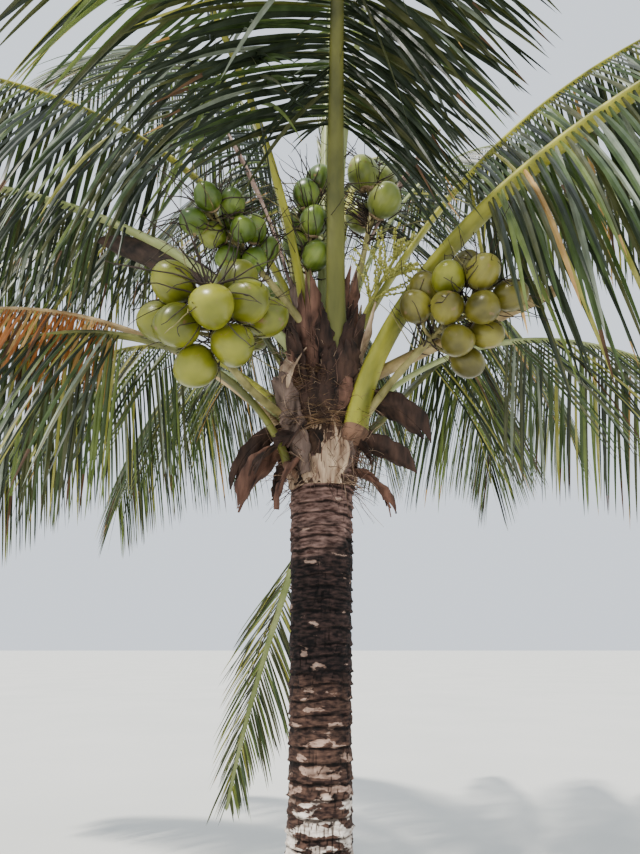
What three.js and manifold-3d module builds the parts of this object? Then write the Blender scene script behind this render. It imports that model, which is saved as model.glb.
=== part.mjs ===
// Coconut palm: a ringed trunk with a flared foot and a fibrous head, arching fronds, bunches of
// green nuts, a flower spray, woody spathes and the torn bases of old leaves.
// Millimetres, +Z up. The origin is the middle of the flat cut under the trunk.
// A bearing of 0 degrees is +X and of 90 degrees is +Y. The fruiting side faces -Y.
import * as THREE from "three";
import Module from "manifold-3d";

const wasm = await Module();
wasm.setup();

// Driving sizes of the trunk: height and radius from the ground to the growing tip
const TRUNK_PROFILE = [
  [0, 210], [90, 186], [220, 163], [420, 146], [720, 133], [1050, 131], [1400, 134], [1800, 139],
  [2150, 143], [2270, 150], [2450, 165], [2650, 156], [2900, 118], [3050, 82], [3120, 50],
];
const TRUNK_SIDES = 20;
const TRUNK_TOP = 3120;
const LEAN = 15;
const LEAN_HEIGHT = 2250;

// Clearance between neighbours that touch, and between things that only pass each other
const SEAT_GAP = 0.3;
const PASS_GAP = 6;
const CUT_MARGIN = 2;
const GROUND_CLEARANCE = 20;

// Driving sizes of a frond's rib: the bare stalk is a share of the length, the rest carries leaflets.
// Widths and depths are given at distances from the foot, and the rib's top is narrower than its bottom.
const FULL_FROND = 4400;
const STALK_SHARE = 0.27;
const LEAFY_END = 0.985;
const STEM_WIDTH = [[-60, 130], [100, 104], [350, 84], [1200, 72], [3000, 34], [4800, 11]];
const STEM_DEPTH = [[-60, 64], [100, 52], [350, 44], [1200, 36], [3000, 20], [4800, 9]];
const STALK_RING_DISTANCES = [0, 110, 350];
const LAST_STALK_RING = 0.6;
const RIB_TOP_SHARE = 0.75;
const HEEL_SINK = 34;
const HEEL_BACK = 45;
const STEM_STAND = 28;
const PATH_STEPS = 90;
const SPLIT_TURN = 105;
const SPLIT_AFTER_PAIR = 4;

// Driving sizes of a leaflet: it leaves the rib at the forward angle, which closes towards the rib's tip.
// Its length follows a stretch of a sine from the first leaflet to the last. It hangs from its root on, by
// the first share of its droop, and the rest of the droop sets in outwards.
const LEAFLET_PAIRS = 10;
const LEAFLET_LENGTH = 1200;
const LEAFLET_WIDTH = 132;
const FULL_WIDTH_LENGTH = 700;
const LEAFLET_ROOT_WIDTH = 84;
const LEAFLET_THICKNESS = 11;
const THICKNESS_IN_LENGTH = 95;
const LEAFLET_STEPS = 10;
const FORWARD_FIRST = 64;
const FORWARD_LOSS = 27;
const LEAFLET_LIFT = -8;
const SINE_START = 0.24;
const SINE_RUN = 0.66;
const SINE_POWER = 0.6;
const DROOP = 3.0;
const DRY_DROOP = 4.6;
const FIRST_DROOP = 0.5;
const DROOP_POWER = 1.3;
const SPEAR_FORWARD = 12;
const LENGTH_TRIES = [1, 0.8, 0.6, 0.45];
const PROBE_TIP = 0.995;
const CLEAR_OF_RIB_FROM = 0.25;

// Each frond leaves the head at a foot bearing and a base height. Its rib climbs at the rise angle and
// ends at the fall angle, and the bend says how early it turns over. Where a frond's leaflets differ, the
// slack is their share of the droop, the lean shifts droop from its right side to its left, the reach is
// their share of the length and the forward their share of the forward angle.
const FRONDS = [
  { name: "front_high", foot: -66, base: 2770, heading: -89.7, sweep: 1.6, rise: 88, fall: -34, bend: 1.27,
    length: 4530, girth: 1.15, slack: 0.58, lean: 0.3 },
  { name: "right_big", foot: -36, base: 2460, heading: -29, sweep: -11.2, rise: 88, fall: -30, bend: 0.59,
    length: 4580, girth: 1.6 },
  { name: "right_high", foot: -12, base: 2920, heading: -2.5, sweep: -6.7, rise: 62, fall: -5, bend: 1.34,
    length: 4350, girth: 0.85 },
  { name: "left_mid", foot: 215, base: 2860, heading: 190, sweep: -0.8, rise: 49.5, fall: -58.5, bend: 0.97,
    length: 4470, girth: 0.85 },
  { name: "left_high", foot: 182, base: 3060, heading: 186, sweep: 7.2, rise: 72, fall: -46, bend: 0.91,
    length: 4600, girth: 0.8 },
  { name: "left_low", foot: 212, base: 2290, heading: 173, sweep: -8, rise: 76.6, fall: -89, bend: 0.73,
    length: 4450, girth: 0.9 },
  { name: "left_dry", foot: 170, base: 2500, heading: 176, sweep: -4, rise: 46, fall: -63, bend: 1.11,
    length: 4120, girth: 0.8, dry: true },
  { name: "back_hanging", foot: 90, base: 2360, heading: 102, sweep: 20, rise: -30, fall: -70, bend: 1.4,
    length: 2600, girth: 0.6, slack: 0.3, reach: 0.9, forward: 0.8 },
  { name: "right_low", foot: 14, base: 2570, heading: 22.6, sweep: -3, rise: 49.5, fall: -56, bend: 0.88,
    length: 4320, girth: 0.8, slack: 0.7 },
  { name: "right_hanging", foot: 46, base: 2400, heading: 44.4, sweep: 39, rise: 43.5, fall: -59, bend: 2,
    length: 4400, girth: 0.8 },
  { name: "back_left_low", foot: 142, base: 2600, heading: 146, sweep: -7, rise: 45.4, fall: -68, bend: 1.23,
    length: 4070, girth: 0.8 },
  { name: "back_left_fan", foot: 124, base: 2440, heading: 123, sweep: -2, rise: 46.7, fall: -56, bend: 1.42,
    length: 4050, girth: 0.8 },
  { name: "back_high", foot: 136, base: 2950, heading: 148, sweep: 1.7, rise: 83, fall: 2, bend: 1.7,
    length: 4500, girth: 0.7, slack: 0.5 },
  { name: "back_inner", foot: 60, base: 2980, heading: 68, sweep: 0, rise: 84, fall: -5, bend: 1.3,
    length: 3900, girth: 0.6, slack: 0.5 },
  { name: "back_mid", foot: 76, base: 2680, heading: 80, sweep: 0, rise: 58, fall: -45, bend: 1.2,
    length: 4400, girth: 0.8 },
  { name: "back_left_mid", foot: 106, base: 2780, heading: 108, sweep: 2, rise: 60, fall: -42, bend: 1.2,
    length: 4400, girth: 0.8 },
  { name: "back_right_mid", foot: 34, base: 2720, heading: 50, sweep: 4, rise: 57, fall: -44, bend: 1.2,
    length: 4400, girth: 0.8 },
  { name: "back_right_high", foot: 22, base: 3010, heading: 32, sweep: -4, rise: 74, fall: -28, bend: 1.3,
    length: 4400, girth: 0.6, slack: 0.5 },
  { name: "back_left_high", foot: 102, base: 3030, heading: 118, sweep: 8, rise: 78, fall: -20, bend: 1.3,
    length: 4200, girth: 0.6, slack: 0.5 },
  { name: "front_left_high", foot: 236, base: 2990, heading: 226, sweep: 4, rise: 78, fall: -22, bend: 1.3,
    length: 4300, girth: 0.6, slack: 0.5 },
  { name: "front_right_high", foot: -50, base: 3010, heading: -72, sweep: 20, rise: 89, fall: -18, bend: 1.5,
    length: 4300, girth: 0.55, slack: 0.5 },
  { name: "left_back_mid", foot: 158, base: 2780, heading: 158, sweep: -4, rise: 62, fall: -42, bend: 1.2,
    length: 4400, girth: 0.75 },
  { name: "spear", foot: 0, base: TRUNK_TOP, heading: 60, sweep: 0, rise: 90, fall: 84, bend: 1,
    length: 2300, girth: 0.55, reach: 0.6, spear: true },
];

// Each bunch hangs on a stalk that leaves the head between two fronds. Its nuts sit round the stalk's end:
// the middle is the angle round the stalk of the gap between them, and the spread is the angle that they
// take up.
const BUNCHES = [
  { name: "nuts_front_left", foot: 204, base: 2530, heading: 221, sweep: 60, rise: 15, fall: 19,
    length: 910, nuts: 10, nut: 172, ring: 230, from: 0.72, spread: 290, middle: 67 },
  { name: "nuts_upper_left", foot: 250, base: 2920, heading: 194, sweep: 47, rise: 60, fall: 9, length: 850,
    nuts: 10, nut: 126, ring: 84, from: 0.57, spread: 120, middle: 14 },
  { name: "nuts_middle_left", foot: 234, base: 3060, heading: 253, sweep: 60, rise: 88, fall: 84, length: 810,
    nuts: 6, nut: 150, ring: 50, from: 0.37, spread: 180, middle: 164 },
  { name: "nuts_middle_right", foot: -1, base: 3055, heading: 4, sweep: 60, rise: 72, fall: 84, length: 1150,
    nuts: 4, nut: 186, ring: 165, from: 0.59, spread: 302, middle: 349 },
  { name: "nuts_right", foot: -15, base: 2505, heading: -33, sweep: -5, rise: 49, fall: 22, length: 920,
    nuts: 11, nut: 150, ring: 209, from: 0.62, spread: 177, middle: 165 },
  { name: "nuts_back", foot: 90, base: 2880, heading: 90, sweep: 0, rise: 60, fall: 4, length: 900,
    nuts: 7, nut: 170, ring: 180, from: 0.72, spread: 300, middle: 90 },
  { name: "nuts_back_left", foot: 121, base: 2880, heading: 130, sweep: 0, rise: 68, fall: 24, length: 680,
    nuts: 6, nut: 170, ring: 170, from: 0.6, spread: 300, middle: 90 },
];

// Stalks start sunk into the head. The twigs to the nuts leave the stalk a little before the nuts begin,
// and the nuts' ring closes towards the stalk's end.
const STALK_SINK = 60;
const STALK_SIDES = 6;
const BUNCH_STALK = { from: 24, to: 12, steps: 6 };
const TWIG_RADIUS = 9;
const TWIG_TAPER = 0.6;
const TWIG_FROM = 0.9;
const TWIG_RUN = 0.6;
const RING_TAPER = 0.45;
const NUT_SIDES = 6;
const NUT_RINGS = 5;
const NUT_STRETCH = 1.1;
const PUSH_ROUNDS = 60;

// The flower spray's branches leave its stalk from a share of its length on, forwards and outwards
const SPRAY_STALK = { from: 15, to: 6, steps: 5 };
const FLOWER_SPRAY = { foot: -33, base: 2860, heading: -50, rise: 56, fall: 38, length: 560, branches: 9,
  from: 0.45, run: 0.5, forward: 0.8, spread: 0.6, reach: 300, taper: 0.4 };

// Hollow strips: spathes on their stalks, the cut stalk of an old frond, and torn leaf bases round the
// head. Widths are pairs of a share of the length and a width. Where a strip is narrow it is thin as well.
// The roll turns a strip about its own length, and has set in by a share of it.
const STRIP_THICK_SHARE = 0.7;
const ROLLED_BY = 0.3;
const STRIPS = [
  { name: "cut_stalk", foot: -4, base: 2710, heading: -18, rise: 22, fall: 18, length: 1070, cup: 0.16,
    thick: 30, widths: [[-0.06, 80], [0.1, 78], [0.5, 74], [0.97, 78], [1, 58]], finish: "stalk" },
  { name: "spathe_left", foot: 204, base: 2960, heading: 187, rise: 42, fall: 9, length: 1180, cup: 0.3,
    roll: -40, thick: 9, widths: [[-0.05, 34], [0.4, 36], [0.5, 108], [0.72, 150], [0.9, 100], [1, 14]],
    finish: "spathe" },
  { name: "spathe_upper_right", foot: 28, base: 3075, heading: 4, rise: 76, fall: 54, length: 1480,
    cup: 0.3, thick: 8, widths: [[-0.04, 26], [0.55, 24], [0.66, 62], [0.85, 54], [1, 9]], finish: "spathe" },
  { name: "spathe_upper_left", foot: 157, base: 3030, heading: 174, rise: 80, fall: 62, length: 1500,
    cup: 0.3, thick: 8, widths: [[-0.04, 26], [0.55, 24], [0.66, 58], [0.85, 50], [1, 9]], finish: "spathe" },
  { name: "leaf_base_front_left", foot: 233, base: 2290, heading: 206, rise: 80, fall: 68, length: 450,
    stand: 2, roll: -32, cup: 0.18, thick: 13,
    widths: [[-0.1, 124], [0.1, 130], [0.3, 134], [0.7, 118], [1, 96]], finish: "base" },
  { name: "leaf_base_front", foot: -86, base: 2230, heading: -88, rise: 86, fall: 82, length: 300, stand: -6,
    cup: 0.1, thick: 12, widths: [[-0.1, 150], [0.4, 160], [0.8, 110], [1, 60]], finish: "base" },
  { name: "leaf_base_left", foot: 190, base: 2400, heading: 204, rise: -24, fall: -89, length: 470,
    roll: -60, cup: 0.16, thick: 11, widths: [[-0.1, 90], [0.1, 110], [0.3, 128], [0.7, 108], [1, 34]],
    finish: "base" },
  { name: "leaf_base_right", foot: -9, base: 2640, heading: -14, rise: 4, fall: -74, length: 470,
    roll: 62, cup: 0.14, thick: 12, widths: [[-0.1, 56], [0.1, 96], [0.3, 140], [0.7, 124], [1, 24]],
    finish: "base" },
  { name: "leaf_base_right_low", foot: -4, base: 2430, heading: -6, rise: 0, fall: -58, length: 340,
    roll: 55, cup: 0.14, thick: 11, widths: [[-0.1, 90], [0.1, 104], [0.3, 118], [0.7, 96], [1, 20]],
    finish: "base" },
  { name: "leaf_base_middle", foot: -107, base: 2600, heading: -107, rise: 88, fall: 86, length: 420,
    stand: -6, cup: 0.12, thick: 12, widths: [[-0.1, 66], [0.4, 70], [0.8, 60], [1, 40]], finish: "base" },
];

const up = new THREE.Vector3(0, 0, 1);
const GOLDEN_SHARE = (Math.sqrt(5) - 1) / 2;

const radians = (degrees) => degrees * Math.PI / 180;

// Straight-line reading of a table of [position, value] pairs
function read(table, position) {
  let [lowAt, low] = table[0];
  for (const [at, value] of table) {
    if (position <= at) {
      const span = at - lowAt || 1;
      return low + (value - low) * Math.max(0, position - lowAt) / span;
    }
    lowAt = at;
    low = value;
  }
  return low;
}

// Solids from closed meshes, and meshes from solids
function solidOf(points, faces) {
  const vertProperties = new Float32Array(points.flatMap((p) => [p.x, p.y, p.z]));
  const triVerts = new Uint32Array(faces.flat());
  return new wasm.Manifold(new wasm.Mesh({ numProp: 3, vertProperties, triVerts }));
}

function geometryOf(solid) {
  const mesh = solid.getMesh();
  const geometry = new THREE.BufferGeometry();
  geometry.setAttribute("position", new THREE.BufferAttribute(new Float32Array(mesh.vertProperties), 3));
  geometry.setIndex(new THREE.BufferAttribute(new Uint32Array(mesh.triVerts), 1));
  return geometry;
}

function largestPiece(solid) {
  return solid.decompose().reduce((best, piece) => (piece.volume() > best.volume() ? piece : best));
}

// Triangles across a ring's end, from one side of the ring to the other, so that a hollow ring closes too
function cap(ring, flip) {
  const faces = [];
  const last = ring.length - 1;
  for (let i = 0; i < Math.floor(last / 2); i += 1) {
    const far = last - i - 1;
    if (i + 1 < far) {
      faces.push([ring[i], ring[i + 1], ring[far]]);
    }
    faces.push([ring[i], ring[far], ring[far + 1]]);
  }
  return flip ? faces.map(([p, q, r]) => [p, r, q]) : faces;
}

// A closed skin over rings of points that turn the same way, with a cap at each end
function loft(rings) {
  const sides = rings[0].length;
  const points = rings.flat();
  const faces = cap([...Array(sides).keys()], true);
  for (let r = 0; r < rings.length - 1; r += 1) {
    for (let i = 0; i < sides; i += 1) {
      const a = r * sides + i;
      const b = r * sides + (i + 1) % sides;
      faces.push([a, b, b + sides], [a, b + sides, a + sides]);
    }
  }
  const last = (rings.length - 1) * sides;
  faces.push(...cap([...Array(sides).keys()].map((i) => last + i), false));
  return solidOf(points, faces);
}

// The trunk: a lathed profile, sheared a little by its lean
function trunkSolid(grow) {
  const rings = TRUNK_PROFILE.map(([height, radius]) => {
    const shift = LEAN * Math.min(1, height / LEAN_HEIGHT);
    return Array.from({ length: TRUNK_SIDES }, (_, i) => {
      const turn = 2 * Math.PI * i / TRUNK_SIDES;
      return new THREE.Vector3(
        shift + (radius + grow) * Math.cos(turn), (radius + grow) * Math.sin(turn), height);
    });
  });
  return loft(rings);
}

// The line that a stem follows from the head, as points at even steps
function stemPath(stem) {
  const bearing = radians(stem.foot);
  const stand = (stem.stand ?? STEM_STAND) * Math.sin(radians(Math.max(stem.rise, 0)));
  const reach = stem.spear ? 0 : read(TRUNK_PROFILE, stem.base) + stand;
  const point = new THREE.Vector3(
    LEAN + reach * Math.cos(bearing), reach * Math.sin(bearing), stem.base + (stem.spear ? SEAT_GAP : 0));
  const points = [point.clone()];
  for (let i = 0; i < PATH_STEPS; i += 1) {
    point.addScaledVector(frameAt(stem, (i + 0.5) / PATH_STEPS).along, stem.length / PATH_STEPS);
    points.push(point.clone());
  }
  return points;
}

// Directions at a share of a stem's length: along it, to its right side, and out of its upper face
function frameAt(stem, share) {
  const clamped = Math.max(share, 0);
  const climb = radians(stem.rise + (stem.fall - stem.rise) * clamped ** (stem.bend ?? 1));
  const turn = radians(stem.heading + (stem.sweep ?? 0) * clamped);
  const along = new THREE.Vector3(
    Math.cos(climb) * Math.cos(turn), Math.cos(climb) * Math.sin(turn), Math.sin(climb));
  const right = new THREE.Vector3(Math.sin(turn), -Math.cos(turn), 0);
  return { along, right, upper: new THREE.Vector3().crossVectors(right, along) };
}

function pointAt(path, share) {
  const place = Math.min(Math.max(share, 0), 1) * PATH_STEPS;
  const low = Math.min(Math.floor(place), PATH_STEPS - 1);
  return path[low].clone().lerp(path[low + 1], place - low);
}

// Four corners round a frond's rib: left top, right top, right bottom, left bottom
function ribRing(frond, path, share, grow) {
  const { right, upper } = frameAt(frond, share);
  const distance = share * frond.length;
  const halfWidth = read(STEM_WIDTH, distance) * frond.girth / 2 + grow;
  const halfDepth = read(STEM_DEPTH, distance) * frond.girth / 2 + grow;
  const middle = pointAt(path, share);
  const corner = (across, above) => middle.clone()
    .addScaledVector(right, across * halfWidth).addScaledVector(upper, above * halfDepth);
  return [corner(-RIB_TOP_SHARE, 1), corner(RIB_TOP_SHARE, 1), corner(1, -1), corner(-1, -1)];
}

// The heel: the foot's last ring, drawn back and sunk towards the trunk's middle
function heelRing(frond, path, grow) {
  const bearing = radians(frond.foot);
  const inward = new THREE.Vector3(-Math.cos(bearing), -Math.sin(bearing), 0).multiplyScalar(HEEL_SINK);
  const back = frameAt(frond, 0).along.multiplyScalar(-HEEL_BACK);
  return ribRing(frond, path, 0, grow).map((p) => p.add(inward).add(back));
}

// Where the rib has rings: four on the bare stalk, then two for each pair of leaflets, and the tip
const STALK_RINGS = STALK_RING_DISTANCES.length + 1;

function ribShares(frond) {
  const shares = STALK_RING_DISTANCES.map((distance) => distance / frond.length);
  shares.push(STALK_SHARE * LAST_STALK_RING);
  const rootShare = LEAFLET_ROOT_WIDTH / frond.length / 2;
  for (let i = 0; i < LEAFLET_PAIRS; i += 1) {
    const middle = leafletShare(i);
    shares.push(middle - rootShare, middle + rootShare);
  }
  shares.push(1);
  return shares;
}

const leafletShare = (index) => STALK_SHARE + (LEAFY_END - STALK_SHARE) * (index + 0.5) / LEAFLET_PAIRS;

function stalkRings(frond, path) {
  const rings = ribShares(frond).slice(0, STALK_RINGS).map((share) => ribRing(frond, path, share, 0));
  return frond.spear ? rings : [heelRing(frond, path, 0), ...rings];
}

const wholeRib = (frond, path, grow) => loft([
  ...(frond.spear ? [] : [heelRing(frond, path, grow)]),
  ...ribShares(frond).map((share) => ribRing(frond, path, share, grow)),
]);

// A leaflet's line from the rib: it leaves forwards and sideways, then bends over with its own weight
function leafletLine(frond, path, index, side, lengthShare) {
  const share = leafletShare(index);
  const along01 = (index + 0.5) / LEAFLET_PAIRS;
  const { along, right, upper } = frameAt(frond, share);
  const forward = radians(frond.spear ? SPEAR_FORWARD
    : (FORWARD_FIRST - FORWARD_LOSS * along01) * (frond.forward ?? 1));
  const lift = radians(LEAFLET_LIFT);
  const start = along.clone().multiplyScalar(Math.cos(forward))
    .addScaledVector(right, side * Math.sin(forward) * Math.cos(lift))
    .addScaledVector(upper, Math.sin(forward) * Math.sin(lift));
  const full = LEAFLET_LENGTH * Math.sin(Math.PI * (SINE_START + SINE_RUN * along01)) ** SINE_POWER;
  const length = full * lengthShare * (frond.reach ?? 1) * frond.length / FULL_FROND;
  const slack = (frond.slack ?? 1) * (1 - side * (frond.lean ?? 0));
  const weight = frond.spear ? 0 : (frond.dry ? DRY_DROOP : DROOP) * slack;
  const point = pointAt(path, share);
  const points = [point.clone()];
  for (let k = 0; k < LEAFLET_STEPS; k += 1) {
    const outwards = ((k + 0.5) / LEAFLET_STEPS) ** DROOP_POWER;
    const droop = weight * (FIRST_DROOP + (1 - FIRST_DROOP) * outwards);
    const direction = start.clone().addScaledVector(up, -droop).normalize();
    point.addScaledVector(direction, length / LEAFLET_STEPS);
    points.push(point.clone());
  }
  return { points, along, upper, length };
}

// The flat four-cornered ring halfway along a leaflet, in the order of the rib face that it grows from
function leafletMiddle(line, side, at) {
  const here = line.points[at];
  const direction = line.points[at + 1].clone().sub(line.points[at - 1]).normalize();
  const across = line.along.clone().addScaledVector(direction, -line.along.dot(direction)).normalize();
  const normal = new THREE.Vector3().crossVectors(direction, across);
  if (normal.dot(line.upper) < 0) {
    normal.negate();
  }
  const half = LEAFLET_WIDTH / 2 * Math.min(1, line.length / FULL_WIDTH_LENGTH);
  const thick = Math.max(LEAFLET_THICKNESS, line.length / THICKNESS_IN_LENGTH) / 2;
  const corner = (w, n) => here.clone().addScaledVector(across, w * half).addScaledVector(normal, n * thick);
  return side > 0
    ? [corner(-1, 1), corner(-1, -1), corner(1, -1), corner(1, 1)]
    : [corner(-1, -1), corner(-1, 1), corner(1, 1), corner(1, -1)];
}

// Solids that are already placed, with their boxes, for finding what a new piece would touch
const placed = [];
const remember = (solid) => placed.push({ solid, box: solid.boundingBox() });

function boxesNear(a, b, gap) {
  return [0, 1, 2].every((i) => a.min[i] - gap <= b.max[i] && b.min[i] - gap <= a.max[i]);
}

function hasRoom(solid, gap, ownRib) {
  const box = solid.boundingBox();
  return box.min[2] > GROUND_CLEARANCE && placed.every((other) => other.solid === ownRib
    || !boxesNear(box, other.box, gap) || solid.minGap(other.solid, gap) >= gap);
}

// What is left of a piece where fattened neighbours are taken away from it
function cutClear(solid, cutters) {
  let left = solid;
  for (const cutter of cutters) {
    if (boxesNear(left.boundingBox(), cutter.boundingBox(), 0)) {
      left = left.subtract(cutter);
    }
  }
  return largestPiece(left);
}

// A leaflet's three stations: the rib face that it grows from, a flat ring halfway, and its tip
function leafletShape(frond, path, index, side, lengthShare) {
  const line = leafletLine(frond, path, index, side, lengthShare);
  const rootShare = LEAFLET_ROOT_WIDTH / frond.length / 2;
  const behind = ribRing(frond, path, leafletShare(index) - rootShare, 0);
  const ahead = ribRing(frond, path, leafletShare(index) + rootShare, 0);
  const [first, second] = side > 0 ? [1, 2] : [3, 0];
  const root = [behind[first], behind[second], ahead[second], ahead[first]];
  const middle = leafletMiddle(line, side, LEAFLET_STEPS / 2);
  const tip = line.points[LEAFLET_STEPS];
  return { index, side, root, middle, tip };
}

// A leaflet as a solid of its own from a share of its first half outwards, for measuring its room
function leafletProbe({ root, middle, tip }, from) {
  const start = root.map((p, i) => p.clone().lerp(middle[i], from));
  return loft([start, middle, middle.map((p) => p.clone().lerp(tip, PROBE_TIP))]);
}

// Whether a leaflet has room among its neighbours, and past its root is clear of its own rib
function leafletFits(shape, rib) {
  return hasRoom(leafletProbe(shape, 0), PASS_GAP, rib)
    && leafletProbe(shape, CLEAR_OF_RIB_FROM).minGap(rib, PASS_GAP) >= PASS_GAP;
}

function growLeaflets(frond, path, rib) {
  const leaves = [];
  for (let index = 0; index < LEAFLET_PAIRS; index += 1) {
    for (const side of [1, -1]) {
      for (const lengthShare of LENGTH_TRIES) {
        const shape = leafletShape(frond, path, index, side, lengthShare);
        if (leafletFits(shape, rib)) {
          remember(leafletProbe(shape, 0));
          leaves.push(shape);
          break;
        }
      }
    }
  }
  return leaves;
}

// A frond or part of one: rings of its rib, with each leaflet drawn out of the rib's side face
function frondSolid(rings, leaves) {
  const points = rings.flat();
  const faces = cap([0, 1, 2, 3], true);
  for (let r = 0; r < rings.length - 1; r += 1) {
    for (let i = 0; i < 4; i += 1) {
      const root = [r * 4 + i, r * 4 + (i + 1) % 4, r * 4 + 4 + (i + 1) % 4, r * 4 + 4 + i];
      const leaf = leaves.find((one) => one.ring === r && (one.side > 0 ? 1 : 3) === i);
      if (!leaf) {
        faces.push([root[0], root[1], root[2]], [root[0], root[2], root[3]]);
        continue;
      }
      const first = points.length;
      points.push(...leaf.middle, leaf.tip);
      for (let k = 0; k < 4; k += 1) {
        const next = (k + 1) % 4;
        faces.push([root[k], root[next], first + next], [root[k], first + next, first + k]);
        faces.push([first + k, first + next, first + 4]);
      }
    }
  }
  const last = (rings.length - 1) * 4;
  faces.push(...cap([last, last + 1, last + 2, last + 3], false));
  return solidOf(points, faces);
}

// A frond in one piece, or in two where its rib turns over a wide gap: the second starts at the bend
function addFrond(frond, path, rib, neighbours) {
  const leaves = growLeaflets(frond, path, rib);
  const material = frond.dry ? DRY_LEAF : GREEN_LEAF;
  const stalk = stalkRings(frond, path);
  const ringsOf = (from, to) => ribShares(frond).slice(STALK_RINGS + 2 * from, STALK_RINGS + 2 * to)
    .map((share) => ribRing(frond, path, share, 0));
  const leavesOf = (from, to, before) => leaves.filter((leaf) => leaf.index >= from && leaf.index < to)
    .map((leaf) => ({ ...leaf, ring: before + 2 * (leaf.index - from) }));
  const tip = [ribRing(frond, path, 1, 0)];
  if (frond.rise - frond.fall < SPLIT_TURN) {
    const rings = [...stalk, ...ringsOf(0, LEAFLET_PAIRS), ...tip];
    addNode(`frond_${frond.name}`,
      cutClear(frondSolid(rings, leavesOf(0, LEAFLET_PAIRS, stalk.length)), neighbours), material);
    return;
  }
  const cut = (leafletShare(SPLIT_AFTER_PAIR - 1) + leafletShare(SPLIT_AFTER_PAIR)) / 2;
  const inner = [...stalk, ...ringsOf(0, SPLIT_AFTER_PAIR), ribRing(frond, path, cut, 0)];
  const outer = [ribRing(frond, path, cut + SEAT_GAP / frond.length, 0),
    ...ringsOf(SPLIT_AFTER_PAIR, LEAFLET_PAIRS), ...tip];
  addNode(`frond_${frond.name}`,
    cutClear(frondSolid(inner, leavesOf(0, SPLIT_AFTER_PAIR, stalk.length)), neighbours), material);
  addNode(`frond_${frond.name}_end`,
    frondSolid(outer, leavesOf(SPLIT_AFTER_PAIR, LEAFLET_PAIRS, 1)), material);
}

// A round, tapering stalk along its path, which starts sunk into the head
function roundStem(stem, path, { from, to, steps }, grow) {
  const rings = [];
  const firstShare = -STALK_SINK / stem.length;
  for (let k = 0; k <= steps; k += 1) {
    const share = firstShare + (1 - firstShare) * k / steps;
    const { right, upper, along } = frameAt(stem, share);
    const radius = from + (to - from) * k / steps + grow;
    const middle = pointAt(path, share).addScaledVector(along, share < 0 ? share * stem.length : 0);
    rings.push(Array.from({ length: STALK_SIDES }, (_, i) => {
      const turn = -2 * Math.PI * i / STALK_SIDES;
      return middle.clone().addScaledVector(right, radius * Math.cos(turn))
        .addScaledVector(upper, radius * Math.sin(turn));
    }));
  }
  return loft(rings);
}

// A straight three-sided twig
function twig(from, to, radius) {
  const along = to.clone().sub(from).normalize();
  const right = new THREE.Vector3().crossVectors(along, up).normalize();
  const upper = new THREE.Vector3().crossVectors(right, along);
  const ring = (middle, size) => [0, 1, 2].map((i) => {
    const turn = -2 * Math.PI * i / 3;
    return middle.clone().addScaledVector(right, size * Math.cos(turn))
      .addScaledVector(upper, size * Math.sin(turn));
  });
  return loft([ring(from, radius), ring(to, radius * TWIG_TAPER)]);
}

// A nut: an oval of a few sides and rings, a little longer along its stalk
function nutSolid(centre, axis, diameter) {
  const geometry = new THREE.SphereGeometry(diameter / 2, NUT_SIDES, NUT_RINGS);
  const turn = new THREE.Quaternion().setFromUnitVectors(new THREE.Vector3(0, 1, 0), axis);
  const position = geometry.getAttribute("position");
  const points = [];
  const index = new Map();
  const vertexAt = (i) => {
    const p = new THREE.Vector3().fromBufferAttribute(position, i);
    const key = p.toArray().map((value) => value.toFixed(3)).join(" ").replaceAll("-0.000", "0.000");
    if (!index.has(key)) {
      index.set(key, points.length);
      points.push(p.multiply(new THREE.Vector3(1, NUT_STRETCH, 1)).applyQuaternion(turn).add(centre));
    }
    return index.get(key);
  };
  const faces = [];
  for (let i = 0; i < geometry.index.count; i += 3) {
    const corners = [0, 1, 2].map((k) => vertexAt(geometry.index.getX(i + k)));
    if (new Set(corners).size === 3) {
      faces.push(corners);
    }
  }
  return solidOf(points, faces);
}

// Nut centres are dealt round the stalk's end by the golden share, then push each other apart
function nutCentres(bunch, path) {
  const centres = [];
  for (let i = 0; i < bunch.nuts; i += 1) {
    const part = (i + 0.5) / bunch.nuts;
    const share = bunch.from + (1 - bunch.from) * part;
    const { right, upper } = frameAt(bunch, share);
    const open = (360 - bunch.spread) / 2;
    const turn = radians(bunch.middle + open + bunch.spread * ((i * GOLDEN_SHARE) % 1));
    const ring = bunch.ring * (1 - RING_TAPER * part);
    centres.push(pointAt(path, share).addScaledVector(right, ring * Math.cos(turn))
      .addScaledVector(upper, ring * Math.sin(turn)));
  }
  for (let round = 0; round < PUSH_ROUNDS; round += 1) {
    for (let i = 0; i < centres.length; i += 1) {
      for (let j = i + 1; j < centres.length; j += 1) {
        const apart = centres[j].clone().sub(centres[i]);
        const short = bunch.nut - apart.length();
        if (short > 0) {
          apart.setLength(short / 2);
          centres[i].sub(apart);
          centres[j].add(apart);
        }
      }
    }
  }
  return centres;
}

// Where each nut of a bunch sits and what it hangs from, without those that have no room
function nutPlaces(bunch, path) {
  return nutCentres(bunch, path).map((centre, i) => {
    const part = (i + 0.5) / bunch.nuts;
    const root = pointAt(path, bunch.from * TWIG_FROM + (1 - bunch.from) * part * TWIG_RUN);
    return { centre, root, axis: centre.clone().sub(root).normalize() };
  }).filter(({ centre, axis }) => hasRoom(nutSolid(centre, axis, bunch.nut), PASS_GAP));
}

function bunchSolid(bunch, path, places, grow) {
  const pieces = [roundStem(bunch, path, BUNCH_STALK, grow)];
  for (const { centre, root, axis } of places) {
    pieces.push(nutSolid(centre, axis, bunch.nut + 2 * grow), twig(root, centre, TWIG_RADIUS + grow));
  }
  return wasm.Manifold.union(pieces);
}

// The directions at a share of a strip, turned about its length by its roll
function rolledFrame(strip, share) {
  const { along, right, upper } = frameAt(strip, share);
  const roll = radians(strip.roll ?? 0) * Math.min(1, Math.max(share, 0) / ROLLED_BY);
  return { along, right: right.applyAxisAngle(along, -roll), upper: upper.applyAxisAngle(along, -roll) };
}

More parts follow.
